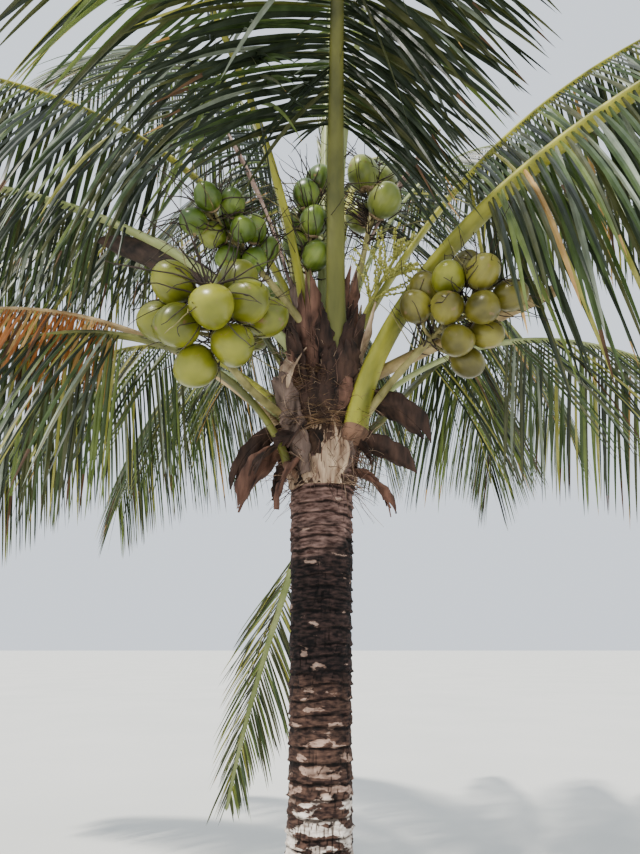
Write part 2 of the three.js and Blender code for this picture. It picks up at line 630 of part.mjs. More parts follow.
// A strip with a hollow upper face: a leaf base, a spathe or a grooved stalk
function stripSolid(strip, path, grow) {
  const rings = strip.widths.map(([share, width]) => {
    const { right, upper, along } = rolledFrame(strip, share);
    const cup = strip.cup * width;
    const half = width / 2 + grow;
    const thick = Math.min(strip.thick, width * STRIP_THICK_SHARE) + 2 * grow;
    const middle = pointAt(path, share).addScaledVector(along, share < 0 ? share * strip.length : 0)
      .addScaledVector(upper, -grow);
    const corner = (across, above) => middle.clone().addScaledVector(right, across)
      .addScaledVector(upper, above);
    return [
      corner(-half, thick), corner(-half / 2, thick - cup), corner(half / 2, thick - cup),
      corner(half, thick), corner(half, 0), corner(half / 2, -cup), corner(-half / 2, -cup),
      corner(-half, 0),
    ];
  });
  return loft(rings);
}

// The flower spray: a stalk with slim branches that wind round it
function spraySolid(spray, path, grow) {
  const pieces = [roundStem(spray, path, SPRAY_STALK, grow)];
  for (let i = 0; i < spray.branches; i += 1) {
    const part = (i + 0.5) / spray.branches;
    const share = spray.from + spray.run * part;
    const { along, right, upper } = frameAt(spray, share);
    const turn = 2 * Math.PI * i * GOLDEN_SHARE;
    const direction = along.clone().multiplyScalar(spray.forward)
      .addScaledVector(right, spray.spread * Math.cos(turn))
      .addScaledVector(upper, spray.spread * Math.sin(turn));
    const root = pointAt(path, share);
    const end = root.clone().addScaledVector(direction, spray.reach * (1 - spray.taper * part));
    pieces.push(twig(root, end, TWIG_RADIUS + grow));
  }
  return wasm.Manifold.union(pieces);
}

const palm = new THREE.Group();

function addNode(name, solid, material) {
  const mesh = new THREE.Mesh(geometryOf(solid), material);
  mesh.name = name;
  palm.add(mesh);
}

const plain = (color, roughness) => new THREE.MeshStandardMaterial({ color, roughness, metalness: 0 });
const BARK = plain(0x5b4636, 0.95);
const GREEN_LEAF = plain(0x4f6a2a, 0.55);
const DRY_LEAF = plain(0xa8733c, 0.8);
const NUT_GREEN = plain(0x8fa03a, 0.4);
const SPATHE_BROWN = plain(0x4a3527, 0.8);
const SHEATH_BROWN = plain(0x8a6a50, 0.9);
const FLOWER_CREAM = plain(0xa9a45a, 0.7);
const STALK_TAN = plain(0xa08a55, 0.7);
const STRIP_MATERIALS = { stalk: STALK_TAN, spathe: SPATHE_BROWN, base: SHEATH_BROWN };

const trunk = trunkSolid(0);
addNode("trunk", trunk, BARK);
remember(trunk);

// Every frond's rib takes its place first, so that nothing grows through it
const paths = new Map(FRONDS.map((frond) => [frond, stemPath(frond)]));
const ribCutters = FRONDS.map((frond) => wholeRib(frond, paths.get(frond), CUT_MARGIN));
const ribs = FRONDS.map((frond) => wholeRib(frond, paths.get(frond), 0));
ribs.forEach(remember);

// Then bunches, the flower spray and the strips, each cut clear of what is there already
const trunkCutter = trunkSolid(SEAT_GAP);
const cutters = [trunkCutter, ...ribCutters];

function addPiece(name, build, material) {
  const solid = cutClear(build(0), cutters);
  addNode(name, solid, material);
  remember(solid);
  cutters.push(build(CUT_MARGIN));
}

for (const bunch of BUNCHES) {
  const path = stemPath(bunch);
  const places = nutPlaces(bunch, path);
  addPiece(bunch.name, (grow) => bunchSolid(bunch, path, places, grow), NUT_GREEN);
}
addPiece("flower_spray", (grow) => spraySolid(FLOWER_SPRAY, stemPath(FLOWER_SPRAY), grow), FLOWER_CREAM);
for (const strip of STRIPS) {
  const path = stemPath(strip);
  addPiece(strip.name, (grow) => stripSolid(strip, path, grow), STRIP_MATERIALS[strip.finish]);
}

// Leaflets fill the room that is left, frond by frond
FRONDS.forEach((frond, i) => {
  addFrond(frond, paths.get(frond), ribs[i], [trunkCutter, ...ribCutters.slice(0, i)]);
});

export default palm;
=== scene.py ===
# %% [markdown]
# # A coconut palm with its fruit
# The measured frame holds this tree as plain solids: a trunk, twenty-three fronds, bunches of nuts, a
# flower spray, spathes and torn leaf bases. This lesson dresses it. Each piece grows again from the same
# rule that placed its solid, only finer, so every frond still points where the frame says.
# All lengths are metres, +Z is up, and the fruiting side faces -Y.

# %% Load the measured frame
import bpy
import math
import numpy as np
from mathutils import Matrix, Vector


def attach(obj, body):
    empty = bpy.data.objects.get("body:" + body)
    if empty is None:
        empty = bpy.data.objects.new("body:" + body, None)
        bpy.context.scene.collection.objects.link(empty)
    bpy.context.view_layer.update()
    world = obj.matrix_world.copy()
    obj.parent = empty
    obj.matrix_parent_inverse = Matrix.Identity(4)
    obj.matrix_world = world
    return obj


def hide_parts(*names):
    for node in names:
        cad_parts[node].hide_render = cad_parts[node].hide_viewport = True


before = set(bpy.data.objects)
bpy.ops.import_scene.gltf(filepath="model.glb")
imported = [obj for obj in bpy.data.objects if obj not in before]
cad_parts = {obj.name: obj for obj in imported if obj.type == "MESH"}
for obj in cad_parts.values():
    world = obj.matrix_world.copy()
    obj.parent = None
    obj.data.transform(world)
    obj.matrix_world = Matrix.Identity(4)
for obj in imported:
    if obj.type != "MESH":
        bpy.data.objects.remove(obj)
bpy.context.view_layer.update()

# %% [markdown]
# ## The camera
# The picture was taken by someone standing three metres away, looking up into the crown. A camera in
# Blender looks along its own -Z, so turning it 90 degrees about X makes it look along +Y, and the pitch
# is added to that. The lens comes from the picture's height and a focal length in pixels.

# %% Set up the camera
EYE = (0.006, -3.0, 1.5)
LOOK_UP = 18.7
FOCAL_PIXELS = 650
PICTURE_HEIGHT = 854
SENSOR_HEIGHT = 36


def add_object(name, data):
    """Puts a camera, a lamp or a mesh into the scene."""
    thing = bpy.data.objects.new(name, data)
    bpy.context.scene.collection.objects.link(thing)
    return thing


camera_data = bpy.data.cameras.new("eye")
camera_data.sensor_fit = "VERTICAL"
camera_data.sensor_height = SENSOR_HEIGHT
camera_data.lens = SENSOR_HEIGHT * FOCAL_PIXELS / PICTURE_HEIGHT
camera = add_object("eye", camera_data)
camera.location = EYE
camera.rotation_euler = (math.radians(90 + LOOK_UP), 0, 0)
bpy.context.scene.camera = camera
print("lens in millimetres:", round(camera_data.lens, 2))

# %% [markdown]
# ## Light and floor
# A high sun lights one side of everything, and a pale sky fills the shade under the leaves. A sun lamp
# with a wide angle gives soft shadow edges, as a large studio lamp does. The floor is one plain face.

# %% Set up the light
SUN_FROM = (-0.42, -0.62, 1.0)
SUN_STRENGTH = 5.4
SUN_ANGLE = 2.5
SUN_COLOUR = (1.0, 0.96, 0.88)
SKY_COLOUR = (0.84, 0.91, 1.0, 1)
SKY_STRENGTH = 1.3


def aim(thing, direction):
    """Turns a lamp so that it shines against the given direction."""
    thing.rotation_mode = "QUATERNION"
    thing.rotation_quaternion = Vector(direction).to_track_quat("Z", "Y")


sun_data = bpy.data.lights.new("high_sun", "SUN")
sun_data.energy = SUN_STRENGTH
sun_data.angle = math.radians(SUN_ANGLE)
sun_data.color = SUN_COLOUR
sun = add_object("high_sun", sun_data)
aim(sun, SUN_FROM)

sky = bpy.data.worlds.new("pale_sky")
sky.use_nodes = True
sky.node_tree.nodes["Background"].inputs["Color"].default_value = SKY_COLOUR
sky.node_tree.nodes["Background"].inputs["Strength"].default_value = SKY_STRENGTH
bpy.context.scene.world = sky
print("sun strength", SUN_STRENGTH, "and sky strength", SKY_STRENGTH)

# %% [markdown]
# ## Node helpers
# Every finish here is a small network: noise, stretched the way the real fibre runs, goes through a
# colour ramp into the base colour, and through a bump node into the relief. These helpers add the nodes
# and join them, so a finish reads as a few plain lines.

# %% Helpers for finishes


def new_finish(name, roughness, specular=0.4):
    """A material with a principled shader, ready for its pattern."""
    material = bpy.data.materials.new(name)
    material.use_nodes = True
    shader = material.node_tree.nodes["Principled BSDF"]
    shader.inputs["Roughness"].default_value = roughness
    shader.inputs["Specular IOR Level"].default_value = specular
    return material


def shader_of(material):
    return material.node_tree.nodes["Principled BSDF"]


def join(material, source, target):
    material.node_tree.links.new(source, target)


def noise(material, scale, stretch=(1, 1, 1), detail=5, space="Object"):
    """Noise that is stretched along the axes by the given factors; a small factor gives long streaks."""
    nodes = material.node_tree.nodes
    place = nodes.new("ShaderNodeTexCoord")
    mapping = nodes.new("ShaderNodeMapping")
    mapping.inputs["Scale"].default_value = stretch
    texture = nodes.new("ShaderNodeTexNoise")
    texture.inputs["Scale"].default_value = scale
    texture.inputs["Detail"].default_value = detail
    join(material, place.outputs[space], mapping.inputs["Vector"])
    join(material, mapping.outputs["Vector"], texture.inputs["Vector"])
    return texture.outputs["Fac"]


def ramp(material, source, stops):
    """A colour ramp; each stop is a place from 0 to 1 and a colour."""
    node = material.node_tree.nodes.new("ShaderNodeValToRGB")
    band = node.color_ramp
    while len(band.elements) < len(stops):
        band.elements.new(1.0)
    for element, (place, colour) in zip(band.elements, stops):
        element.position = place
        element.color = (*colour, 1)
    join(material, source, node.inputs["Fac"])
    return node.outputs["Color"]


def mix(material, share, first, second):
    """First colour where share is 0 and second where it is 1."""
    node = material.node_tree.nodes.new("ShaderNodeMix")
    node.data_type = "RGBA"
    join(material, share, node.inputs["Factor"])
    join(material, first, node.inputs["A"])
    join(material, second, node.inputs["B"])
    return node.outputs["Result"]


def maths(material, operation, *values):
    """A math node; each value is another node's output or a plain number."""
    node = material.node_tree.nodes.new("ShaderNodeMath")
    node.operation = operation
    for value, socket in zip(values, node.inputs):
        if isinstance(value, float):
            socket.default_value = value
        else:
            join(material, value, socket)
    return node.outputs["Value"]


def spread_over(material, source, start, end, first=0.0, last=1.0):
    """Gives first where the source is start and last where it is end, and runs evenly between them."""
    node = material.node_tree.nodes.new("ShaderNodeMapRange")
    for name, value in zip(("From Min", "From Max", "To Min", "To Max"), (start, end, first, last)):
        node.inputs[name].default_value = value
    join(material, source, node.inputs["Value"])
    return node.outputs["Result"]


def coordinate(material, space, axis):
    """One axis, X, Y or Z, of the place that is being shaded."""
    nodes = material.node_tree.nodes
    place = nodes.new("ShaderNodeTexCoord")
    split = nodes.new("ShaderNodeSeparateXYZ")
    join(material, place.outputs[space], split.inputs["Vector"])
    return split.outputs[axis]


def relief(material, source, strength, depth):
    """Bump from a grey source; depth is in metres."""
    node = material.node_tree.nodes.new("ShaderNodeBump")
    node.inputs["Strength"].default_value = strength
    node.inputs["Distance"].default_value = depth
    join(material, source, node.inputs["Height"])
    join(material, node.outputs["Normal"], shader_of(material).inputs["Normal"])


def fibre_finish(name, dark, light, roughness, scale=9, stretch=(1, 1, 0.12), depth=0.004, strength=0.6):
    """Two colours streaked along the fibre, with matching relief."""
    material = new_finish(name, roughness)
    streaks = noise(material, scale, stretch)
    colour = ramp(material, streaks, [(0.32, dark), (0.68, light)])
    join(material, colour, shader_of(material).inputs["Base Color"])
    relief(material, streaks, strength, depth)
    return material


# %% [markdown]
# ## Gathering a mesh
# A palm has thousands of small parts, and an object for each would be slow. Instead each kind of part is
# gathered into one mesh: every part is a grid of points, and the gatherer turns grids into quads. It
# keeps a finish number for each face, so leaflets in one mesh can still have their own colours.

# %% A gatherer for grids


class Gather:
    """Collects grids of points into one mesh with several finishes."""

    def __init__(self, name, finishes):
        self.name = name
        self.finishes = finishes
        self.points = []
        self.quads = []
        self.marks = []
        self.charts = []
        self.count = 0

    def grid(self, points, finish, closed=False):
        """points has rows of stations. finish is one number or one for each row of faces."""
        points = np.asarray(points, float)
        rows, columns = points.shape[:2]
        index = self.count + np.arange(rows * columns).reshape(rows, columns)
        across = np.arange(columns + 1) / columns if closed else np.linspace(0, 1, columns)
        if closed:
            index = np.concatenate([index, index[:, :1]], axis=1)
        quads = np.stack([index[:-1, :-1], index[:-1, 1:], index[1:, 1:], index[1:, :-1]], axis=-1)
        height = np.linspace(0, 1, rows)
        u, v = np.meshgrid(across, height)
        chart = np.stack([u, v], axis=-1)
        corners = np.stack([chart[:-1, :-1], chart[:-1, 1:], chart[1:, 1:], chart[1:, :-1]], axis=2)
        marks = np.broadcast_to(np.asarray(finish).reshape(-1, 1), quads.shape[:2])
        self.points.append(points.reshape(-1, 3))
        self.quads.append(quads.reshape(-1, 4))
        self.marks.append(marks.reshape(-1))
        self.charts.append(corners.reshape(-1, 2))
        self.count += rows * columns

    def build(self, nodes=(), smooth=True):
        """Makes the object and hangs it on the frame."""
        mesh = bpy.data.meshes.new(self.name)
        points = np.concatenate(self.points)
        quads = np.concatenate(self.quads)
        mesh.vertices.add(len(points))
        mesh.vertices.foreach_set("co", points.astype(np.float32).ravel())
        mesh.loops.add(quads.size)
        mesh.loops.foreach_set("vertex_index", quads.astype(np.int32).ravel())
        mesh.polygons.add(len(quads))
        mesh.polygons.foreach_set("loop_start", np.arange(0, quads.size, 4, dtype=np.int32))
        mesh.polygons.foreach_set("material_index", np.concatenate(self.marks).astype(np.int32))
        mesh.uv_layers.new(name="chart")
        mesh.uv_layers["chart"].data.foreach_set("uv", np.concatenate(self.charts).astype(np.float32).ravel())
        mesh.update(calc_edges=True)
        mesh.polygons.foreach_set("use_smooth", np.full(len(quads), smooth))
        for finish in self.finishes:
            mesh.materials.append(finish)
        piece = add_object(self.name, mesh)
        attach(piece, "root")
        if nodes:
            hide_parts(*nodes)
        print(self.name, "has", 2 * len(quads), "triangles")
        return piece


# %% [markdown]
# ## The floor
# A wide flat face under the tree takes its shadow. It is staged, which means that it isn't part of the
# tree. Its finish is a pale grey with a very soft mottle.

# %% Lay the floor
FLOOR_HALF = 300
FLOOR_SHADES = [(0.3, (0.66, 0.66, 0.62)), (0.7, (0.72, 0.71, 0.67))]

floor_finish = new_finish("plain_floor", 0.9)
floor_mottle = ramp(floor_finish, noise(floor_finish, 0.4), FLOOR_SHADES)
join(floor_finish, floor_mottle, shader_of(floor_finish).inputs["Base Color"])
floor_mesh = bpy.data.meshes.new("floor")
corners = [(-FLOOR_HALF, -FLOOR_HALF, 0), (FLOOR_HALF, -FLOOR_HALF, 0), (FLOOR_HALF, FLOOR_HALF, 0),
           (-FLOOR_HALF, FLOOR_HALF, 0)]
floor_mesh.from_pydata(corners, [], [(0, 1, 2, 3)])
floor_mesh.materials.append(floor_finish)
floor = add_object("floor", floor_mesh)
print("floor", 2 * FLOOR_HALF, "metres wide")

# %% [markdown]
# ## The trunk
# A coconut trunk doesn't thicken with age. Each fallen frond leaves a ring scar, a raised lip with a
# groove over it, and between the scars the bark cracks upright. The trunk's radius at each height is the
# frame's own profile. The rings and cracks could be bump alone, but then the outline would be smooth, so
# they are moved points, on a grid fine enough to hold them.

# %% The trunk's driving sizes
TRUNK_PROFILE = [
    (0, 0.210), (0.090, 0.186), (0.220, 0.163), (0.420, 0.146), (0.720, 0.133), (1.050, 0.131),
    (1.400, 0.134), (1.800, 0.139), (2.150, 0.143), (2.270, 0.150), (2.450, 0.165), (2.650, 0.156),
    (2.900, 0.118), (3.050, 0.082), (3.120, 0.050),
]
TRUNK_TOP = 3.120
LEAN = 0.015
LEAN_HEIGHT = 2.25
BARK_TOP = 2.36
BARK_ROWS = 470
BARK_COLUMNS = 200
NOISE_TOP = 4


def round_turns(count):
    """Even angles once round, without the last one, which would be the first again."""
    return 2 * np.pi * np.arange(count) / count


def read(table, position):
    """Straight-line reading of a table of positions and values."""
    return np.interp(position, [place for place, _ in table], [value for _, value in table])


def round_trunk(turn, height, stand):
    """Points at a bearing, a height and a distance that they stand off the trunk's own surface."""
    radius = read(TRUNK_PROFILE, height) + stand
    shift = LEAN * np.minimum(1, height / LEAN_HEIGHT)
    return np.stack([shift + radius * np.cos(turn), radius * np.sin(turn), height + 0 * turn], axis=-1)


def wrapped_noise(turn, height, round_cells, cell_height, seed):
    """Smooth seeded noise from -1 to 1 on a cylinder, which meets itself behind."""
    chance = np.random.default_rng(seed)
    tall = int(NOISE_TOP / cell_height) + 3
    values = chance.uniform(-1, 1, (tall, round_cells))
    u = (turn / (2 * np.pi) % 1) * round_cells
    v = np.clip(height / cell_height, 0, tall - 2)
    u0, v0 = np.floor(u).astype(int), np.floor(v).astype(int)
    fu, fv = u - u0, v - v0
    fu, fv = fu * fu * (3 - 2 * fu), fv * fv * (3 - 2 * fv)
    left, right = u0 % round_cells, (u0 + 1) % round_cells
    low = values[v0, left] * (1 - fu) + values[v0, right] * fu
    high = values[v0 + 1, left] * (1 - fu) + values[v0 + 1, right] * fu
    return low * (1 - fv) + high * fv


# %% [markdown]
# The ring scars lie four to eight centimetres apart, a little tilted. For each point of the grid the
# code finds how far it is between the scar below and the one above. The lip and the groove are two
# narrow humps of that share, and noise breaks them up so that no ring is complete.

# %% Grow the bark
RING_LOW = 0.036
RING_HIGH = 0.078
RING_COUNT = 70
RING_WOBBLES = ((0.012, 5, 0.35, 12), (0.005, 19, 0.1, 13))
LIP_HEIGHT = 0.0085
LIP_SPREAD = 0.16
GROOVE_DEPTH = 0.0065
GROOVE_PLACE = 0.9
GROOVE_SPREAD = 0.09
PLATE_HEIGHT = 0.0035
GRAIN_HEIGHT = 0.0016
CRACK_DEPTH = 0.005
CRACK_WIDTH = 0.10
FLAKE_HEIGHT = 0.034
FLAKE_RARITY = 0.62
FLAKE_SPREAD = 0.3
SWELL_DEPTH = 0.012
SWELL_TOP = 0.3


def ring_share(turn, height):
    """How far a point is from the ring scar below it to the next, from 0 to 1."""
    chance = np.random.default_rng(11)
    rings = np.cumsum(chance.uniform(RING_LOW, RING_HIGH, RING_COUNT))
    wobble = sum(size * wrapped_noise(turn, height, *cells) for size, *cells in RING_WOBBLES)
    level = np.clip(height + wobble, rings[0], rings[-2])
    number = np.searchsorted(rings, level, side="right") - 1
    return (level - rings[number]) / (rings[number + 1] - rings[number])


def bark_relief(turn, height):
    """How far the bark stands off the trunk's radius, and a painted shade that is 0 in its hollows."""
    share = ring_share(turn, height)
    ragged = wrapped_noise(turn, height, 34, 0.05, 14)
    lip = np.exp(-((share / LIP_SPREAD) ** 2)) * (0.55 + 0.6 * ragged)
    groove = np.exp(-(((share - GROOVE_PLACE) / GROOVE_SPREAD) ** 2)) * (0.7 + 0.3 * ragged)
    plates = wrapped_noise(turn, height, 23, 0.045, 15)
    grain = wrapped_noise(turn, height, 90, 0.012, 16)
    cracks = np.abs(wrapped_noise(turn, height, 54, 0.09, 17))
    cracked = np.clip(wrapped_noise(turn, height, 12, 0.2, 18) + 0.35, 0, 1)
    crack = np.clip(1 - cracks / CRACK_WIDTH, 0, 1) * cracked
    over_ring = np.exp(-((share / FLAKE_SPREAD) ** 2))
    flake = np.clip(wrapped_noise(turn, height, 40, 0.03, 19) - FLAKE_RARITY, 0, 1) * over_ring
    total = LIP_HEIGHT * lip - GROOVE_DEPTH * groove + PLATE_HEIGHT * plates + GRAIN_HEIGHT * grain
    total += FLAKE_HEIGHT * flake - CRACK_DEPTH * crack
    swell = SWELL_DEPTH * wrapped_noise(turn, height, 9, 0.3, 20) * np.clip(1 - height / SWELL_TOP, 0, 1)
    shade = np.clip(0.55 + 0.5 * lip - 0.75 * groove + 0.25 * plates - 0.8 * crack + flake, 0, 1)
    return total + swell, shade


def bark_finish():
    """Rosy at the top, stained black below that, then brown; the crusts are tan, and white near the foot;
    painted shade darkens the grooves and cracks.
    """
    bark = new_finish("ringed_bark", 0.88, 0.25)
    patches = noise(bark, 3.2, (1, 1, 2.6), 6)
    grain = noise(bark, 26, (1, 1, 3.4), 7)
    crust = noise(bark, 11, (1, 1, 2.4), 5)
    rosy = ramp(bark, grain, [(0.38, (0.048, 0.022, 0.017)), (0.68, (0.27, 0.165, 0.138))])
    black = ramp(bark, grain, [(0.42, (0.005, 0.003, 0.003)), (0.74, (0.068, 0.038, 0.032))])
    brown = ramp(bark, grain, [(0.38, (0.014, 0.006, 0.005)), (0.72, (0.125, 0.068, 0.048))])
    tan = ramp(bark, grain, [(0.30, (0.12, 0.068, 0.050)), (0.64, (0.46, 0.31, 0.24))])
    white = ramp(bark, grain, [(0.30, (0.26, 0.19, 0.15)), (0.60, (0.82, 0.74, 0.66))])
    height = coordinate(bark, "Object", "Z")

    def level(low, high, spread):
        """1 above high and 0 under low, with an edge that follows the patches."""
        shifted = maths(bark, "MULTIPLY_ADD", patches, spread, height)
        return spread_over(bark, shifted, low + spread / 2, high + spread / 2)

    pale = mix(bark, level(0.88, 0.94, 0.3), white, tan)
    stained = mix(bark, level(1.30, 1.42, 0.7), brown, black)
    upper = mix(bark, level(1.93, 2.00, 0.5), stained, rosy)
    more_below = spread_over(bark, height, 1.45, 0.75, -0.070, 0.105)
    crusted = spread_over(bark, maths(bark, "ADD", crust, more_below), 0.575, 0.605)
    coloured = mix(bark, crusted, upper, pale)
    nodes = bark.node_tree.nodes
    # Painted shade: the colour is multiplied by a ramp of the shade from bark_relief, so rings, grooves and
    # cracks are drawn darker.
    painted_hollow_shade = nodes.new("ShaderNodeAttribute")
    painted_hollow_shade.attribute_name = "painted_hollow_shade"
    hollows = ramp(bark, painted_hollow_shade.outputs["Fac"], [(0.15, (0.16, 0.14, 0.13)), (0.6, (1.0, 1.0, 1.0))])
    shaded = nodes.new("ShaderNodeMix")
    shaded.data_type = "RGBA"
    shaded.blend_type = "MULTIPLY"
    shaded.inputs["Factor"].default_value = 1.0
    join(bark, coloured, shaded.inputs["A"])
    join(bark, hollows, shaded.inputs["B"])
    join(bark, shaded.outputs["Result"], shader_of(bark).inputs["Base Color"])
    relief(bark, grain, 0.55, 0.004)
    return bark


turns, heights = np.meshgrid(round_turns(BARK_COLUMNS), np.linspace(0, BARK_TOP, BARK_ROWS))
bark_stand, bark_painted_shade = bark_relief(turns, heights)
bark = Gather("trunk_bark", [bark_finish()])
bark.grid(round_trunk(turns, heights, bark_stand), 0, closed=True)
foot_ring = round_trunk(turns[:1], heights[:1], bark_stand[:1])
bark.grid(np.concatenate([foot_ring * (0.02, 0.02, 1), foot_ring]), 0, closed=True)
trunk_piece = bark.build(["trunk"])
# The painted shade from bark_relief is kept on the points for the bark finish to read.
painted_hollow_shade = trunk_piece.data.attributes.new("painted_hollow_shade", "FLOAT", "POINT")
painted_shade_values = np.concatenate([bark_painted_shade.ravel(), np.full(2 * BARK_COLUMNS, 0.5)])
painted_hollow_shade.data.foreach_set("value", painted_shade_values.astype(np.float32))

# %% [markdown]
# ## The rule of a stem
# Every frond, bunch and strip follows one rule. It leaves the head at a foot bearing and a base height,
# climbs at the rise angle, and turns over to the fall angle as it goes; the bend says how early. Ninety
# short steps along that changing direction give its line. The rows repeat the measured part's own sizes.
# Slack says how much of the usual droop a frond's leaflets have, and lean takes some of it from the right
# side and gives it to the left. Reach shortens them, short_first only those near the stalk, forward turns
# them along the rib, and close sets more of them on it.

# %% Stems: the rows and the rule
STEM_STAND = 0.028
PATH_STEPS = 90
GOLDEN_SHARE = (math.sqrt(5) - 1) / 2

FROND_KEYS = ("name", "foot", "base", "heading", "sweep", "rise", "fall", "bend", "length", "girth", "tint")
FROND_ROWS = [
    ("front_high", -66, 2.770, -89.7, 1.6, 88, -34, 1.27, 4.530, 1.15, "shade"),
    ("right_big", -36, 2.460, -29, -11.2, 88, -30, 0.59, 4.580, 1.6, "mid"),
    ("right_high", -12, 2.920, -2.5, -6.7, 62, -5, 1.34, 4.350, 0.85, "mid"),
    ("left_mid", 215, 2.860, 190, -0.8, 49.5, -58.5, 0.97, 4.470, 0.85, "deep"),
    ("left_high", 182, 3.060, 186, 7.2, 72, -46, 0.91, 4.600, 0.8, "deep"),
    ("left_low", 212, 2.290, 173, -8, 76.6, -89, 0.73, 4.450, 0.9, "mid"),
    ("left_dry", 170, 2.500, 176, -4, 46, -63, 1.11, 4.120, 0.8, "dry"),
    ("back_hanging", 90, 2.360, 102, 20, -30, -70, 1.4, 2.600, 0.6, "olive"),
    ("right_low", 14, 2.570, 22.6, -3, 49.5, -56, 0.88, 4.320, 0.8, "fresh"),
    ("right_hanging", 46, 2.400, 44.4, 39, 43.5, -59, 2, 4.400, 0.8, "fresh"),
    ("back_left_low", 142, 2.600, 146, -7, 45.4, -68, 1.23, 4.070, 0.8, "fresh"),
    ("back_left_fan", 124, 2.440, 123, -2, 46.7, -56, 1.42, 4.050, 0.8, "fresh"),
    ("back_high", 136, 2.950, 148, 1.7, 83, 2, 1.7, 4.500, 0.7, "deep"),
    ("back_inner", 60, 2.980, 68, 0, 84, -5, 1.3, 3.900, 0.6, "mid"),
    ("back_mid", 76, 2.680, 80, 0, 58, -45, 1.2, 4.400, 0.8, "mid"),
    ("back_left_mid", 106, 2.780, 108, 2, 60, -42, 1.2, 4.400, 0.8, "mid"),
    ("back_right_mid", 34, 2.720, 50, 4, 57, -44, 1.2, 4.400, 0.8, "fresh"),
    ("back_right_high", 22, 3.010, 32, -4, 74, -28, 1.3, 4.400, 0.6, "mid"),
    ("back_left_high", 102, 3.030, 118, 8, 78, -20, 1.3, 4.200, 0.6, "mid"),
    ("front_left_high", 236, 2.990, 226, 4, 78, -22, 1.3, 4.300, 0.6, "deep"),
    ("front_right_high", -50, 3.010, -72, 20, 89, -18, 1.5, 4.300, 0.55, "deep"),
    ("left_back_mid", 158, 2.780, 158, -4, 62, -42, 1.2, 4.400, 0.75, "mid"),
    ("spear", 0, TRUNK_TOP, 60, 0, 90, 84, 1, 2.300, 0.55, "fresh"),
]
FROND_WAYS = {
    "front_high": dict(slack=0.58, lean=0.3, close=1.7),
    "left_mid": dict(short_first=0.5),
    "left_dry": dict(dry=True),
    "back_hanging": dict(slack=0.3, reach=0.9, forward=0.8),
    "right_low": dict(slack=0.7),
    "back_high": dict(slack=0.5),
    "back_inner": dict(slack=0.5),
    "back_right_high": dict(slack=0.5),
    "back_left_high": dict(slack=0.5),
    "front_left_high": dict(slack=0.5),
    "front_right_high": dict(slack=0.5),
    "spear": dict(spear=True, reach=0.6),
}


def rows_of(keys, table, ways):
    """Dicts from the rows of a table; ways holds the values that only some rows have."""
    return [{**dict(zip(keys, row)), **ways.get(row[0], {})} for row in table]


FRONDS = rows_of(FROND_KEYS, FROND_ROWS, FROND_WAYS)


def frame_at(stem, share):
    """Directions at a share of a stem: along it, to its right, and out of its upper face."""
    share = max(share, 0.0)
    climb = math.radians(stem["rise"] + (stem["fall"] - stem["rise"]) * share ** stem.get("bend", 1))
    turn = math.radians(stem["heading"] + stem.get("sweep", 0) * share)
    along = np.array([math.cos(climb) * math.cos(turn), math.cos(climb) * math.sin(turn), math.sin(climb)])
    right = np.array([math.sin(turn), -math.cos(turn), 0])
    return along, right, np.cross(right, along)


def stem_path(stem):
    """The stem's line from the head, as points at even steps."""
    bearing = math.radians(stem["foot"])
    stand = stem.get("stand", STEM_STAND) * math.sin(math.radians(max(stem["rise"], 0)))
    reach = 0 if stem.get("spear") else read(TRUNK_PROFILE, stem["base"]) + stand
    point = np.array([LEAN + reach * math.cos(bearing), reach * math.sin(bearing), stem["base"]])
    points = [point]
    for step in range(PATH_STEPS):
        along = frame_at(stem, (step + 0.5) / PATH_STEPS)[0]
        point = point + along * stem["length"] / PATH_STEPS
        points.append(point)
    return np.array(points)


def point_at(stem, path, share):
    """A point on the line; a share under 0 lies straight behind the foot."""
    if share < 0:
        return path[0] + frame_at(stem, 0)[0] * share * stem["length"]
    place = min(share, 1) * PATH_STEPS
    low = min(int(place), PATH_STEPS - 1)
    return path[low] + (path[low + 1] - path[low]) * (place - low)


frond_paths = {frond["name"]: stem_path(frond) for frond in FRONDS}
print(len(FRONDS), "fronds; the highest point of a rib is at",
      round(max(path[:, 2].max() for path in frond_paths.values()), 2), "m")

# %% [markdown]
# ## The ribs' colours
# A young rib is yellow-green and waxy, an old one olive, and the dead frond's is straw. Where a rib clasps
# the head it is brown and rough. One finish for each is enough, dealt by the frond.

# %% Finishes of the ribs
RIB_FINISHES = [fibre_finish(*row) for row in [
    ("rib_olive", (0.045, 0.050, 0.010), (0.20, 0.20, 0.040), 0.45, 7, (1, 1, 0.22), 0.004, 0.5),
    ("rib_yellow_green", (0.12, 0.13, 0.012), (0.46, 0.44, 0.050), 0.42, 7, (1, 1, 0.22), 0.004, 0.5),
    ("rib_pale_green", (0.20, 0.25, 0.07), (0.46, 0.50, 0.22), 0.42, 5, (1, 1, 0.25), 0.003, 0.3),
    ("rib_straw", (0.30, 0.18, 0.07), (0.62, 0.46, 0.24), 0.6, 6, (1, 1, 0.25), 0.003, 0.4),
    ("rib_foot_brown", (0.045, 0.022, 0.013), (0.26, 0.14, 0.085), 0.85, 14, (1, 1, 0.2), 0.006, 0.9),
]]
RIB_TINTS = {"front_high": 0, "right_big": 1, "left_mid": 2, "left_dry": 3, "right_high": 1, "left_low": 0,
             "back_hanging": 2, "spear": 2}
RIB_FOOT = 4
print(len(RIB_FINISHES), "finishes for ribs")

# %% [markdown]
# ## Ribs and stalks
# The stalk of a coconut frond clasps the head with a wide, flared foot. Its upper face is hollow and its
# underside round, and it thins to a wiry tip. A curve with a bevel would give it a round section, so each
# rib is lofted instead: one ring of points for each station, wider than deep, with the hollow pressed in.

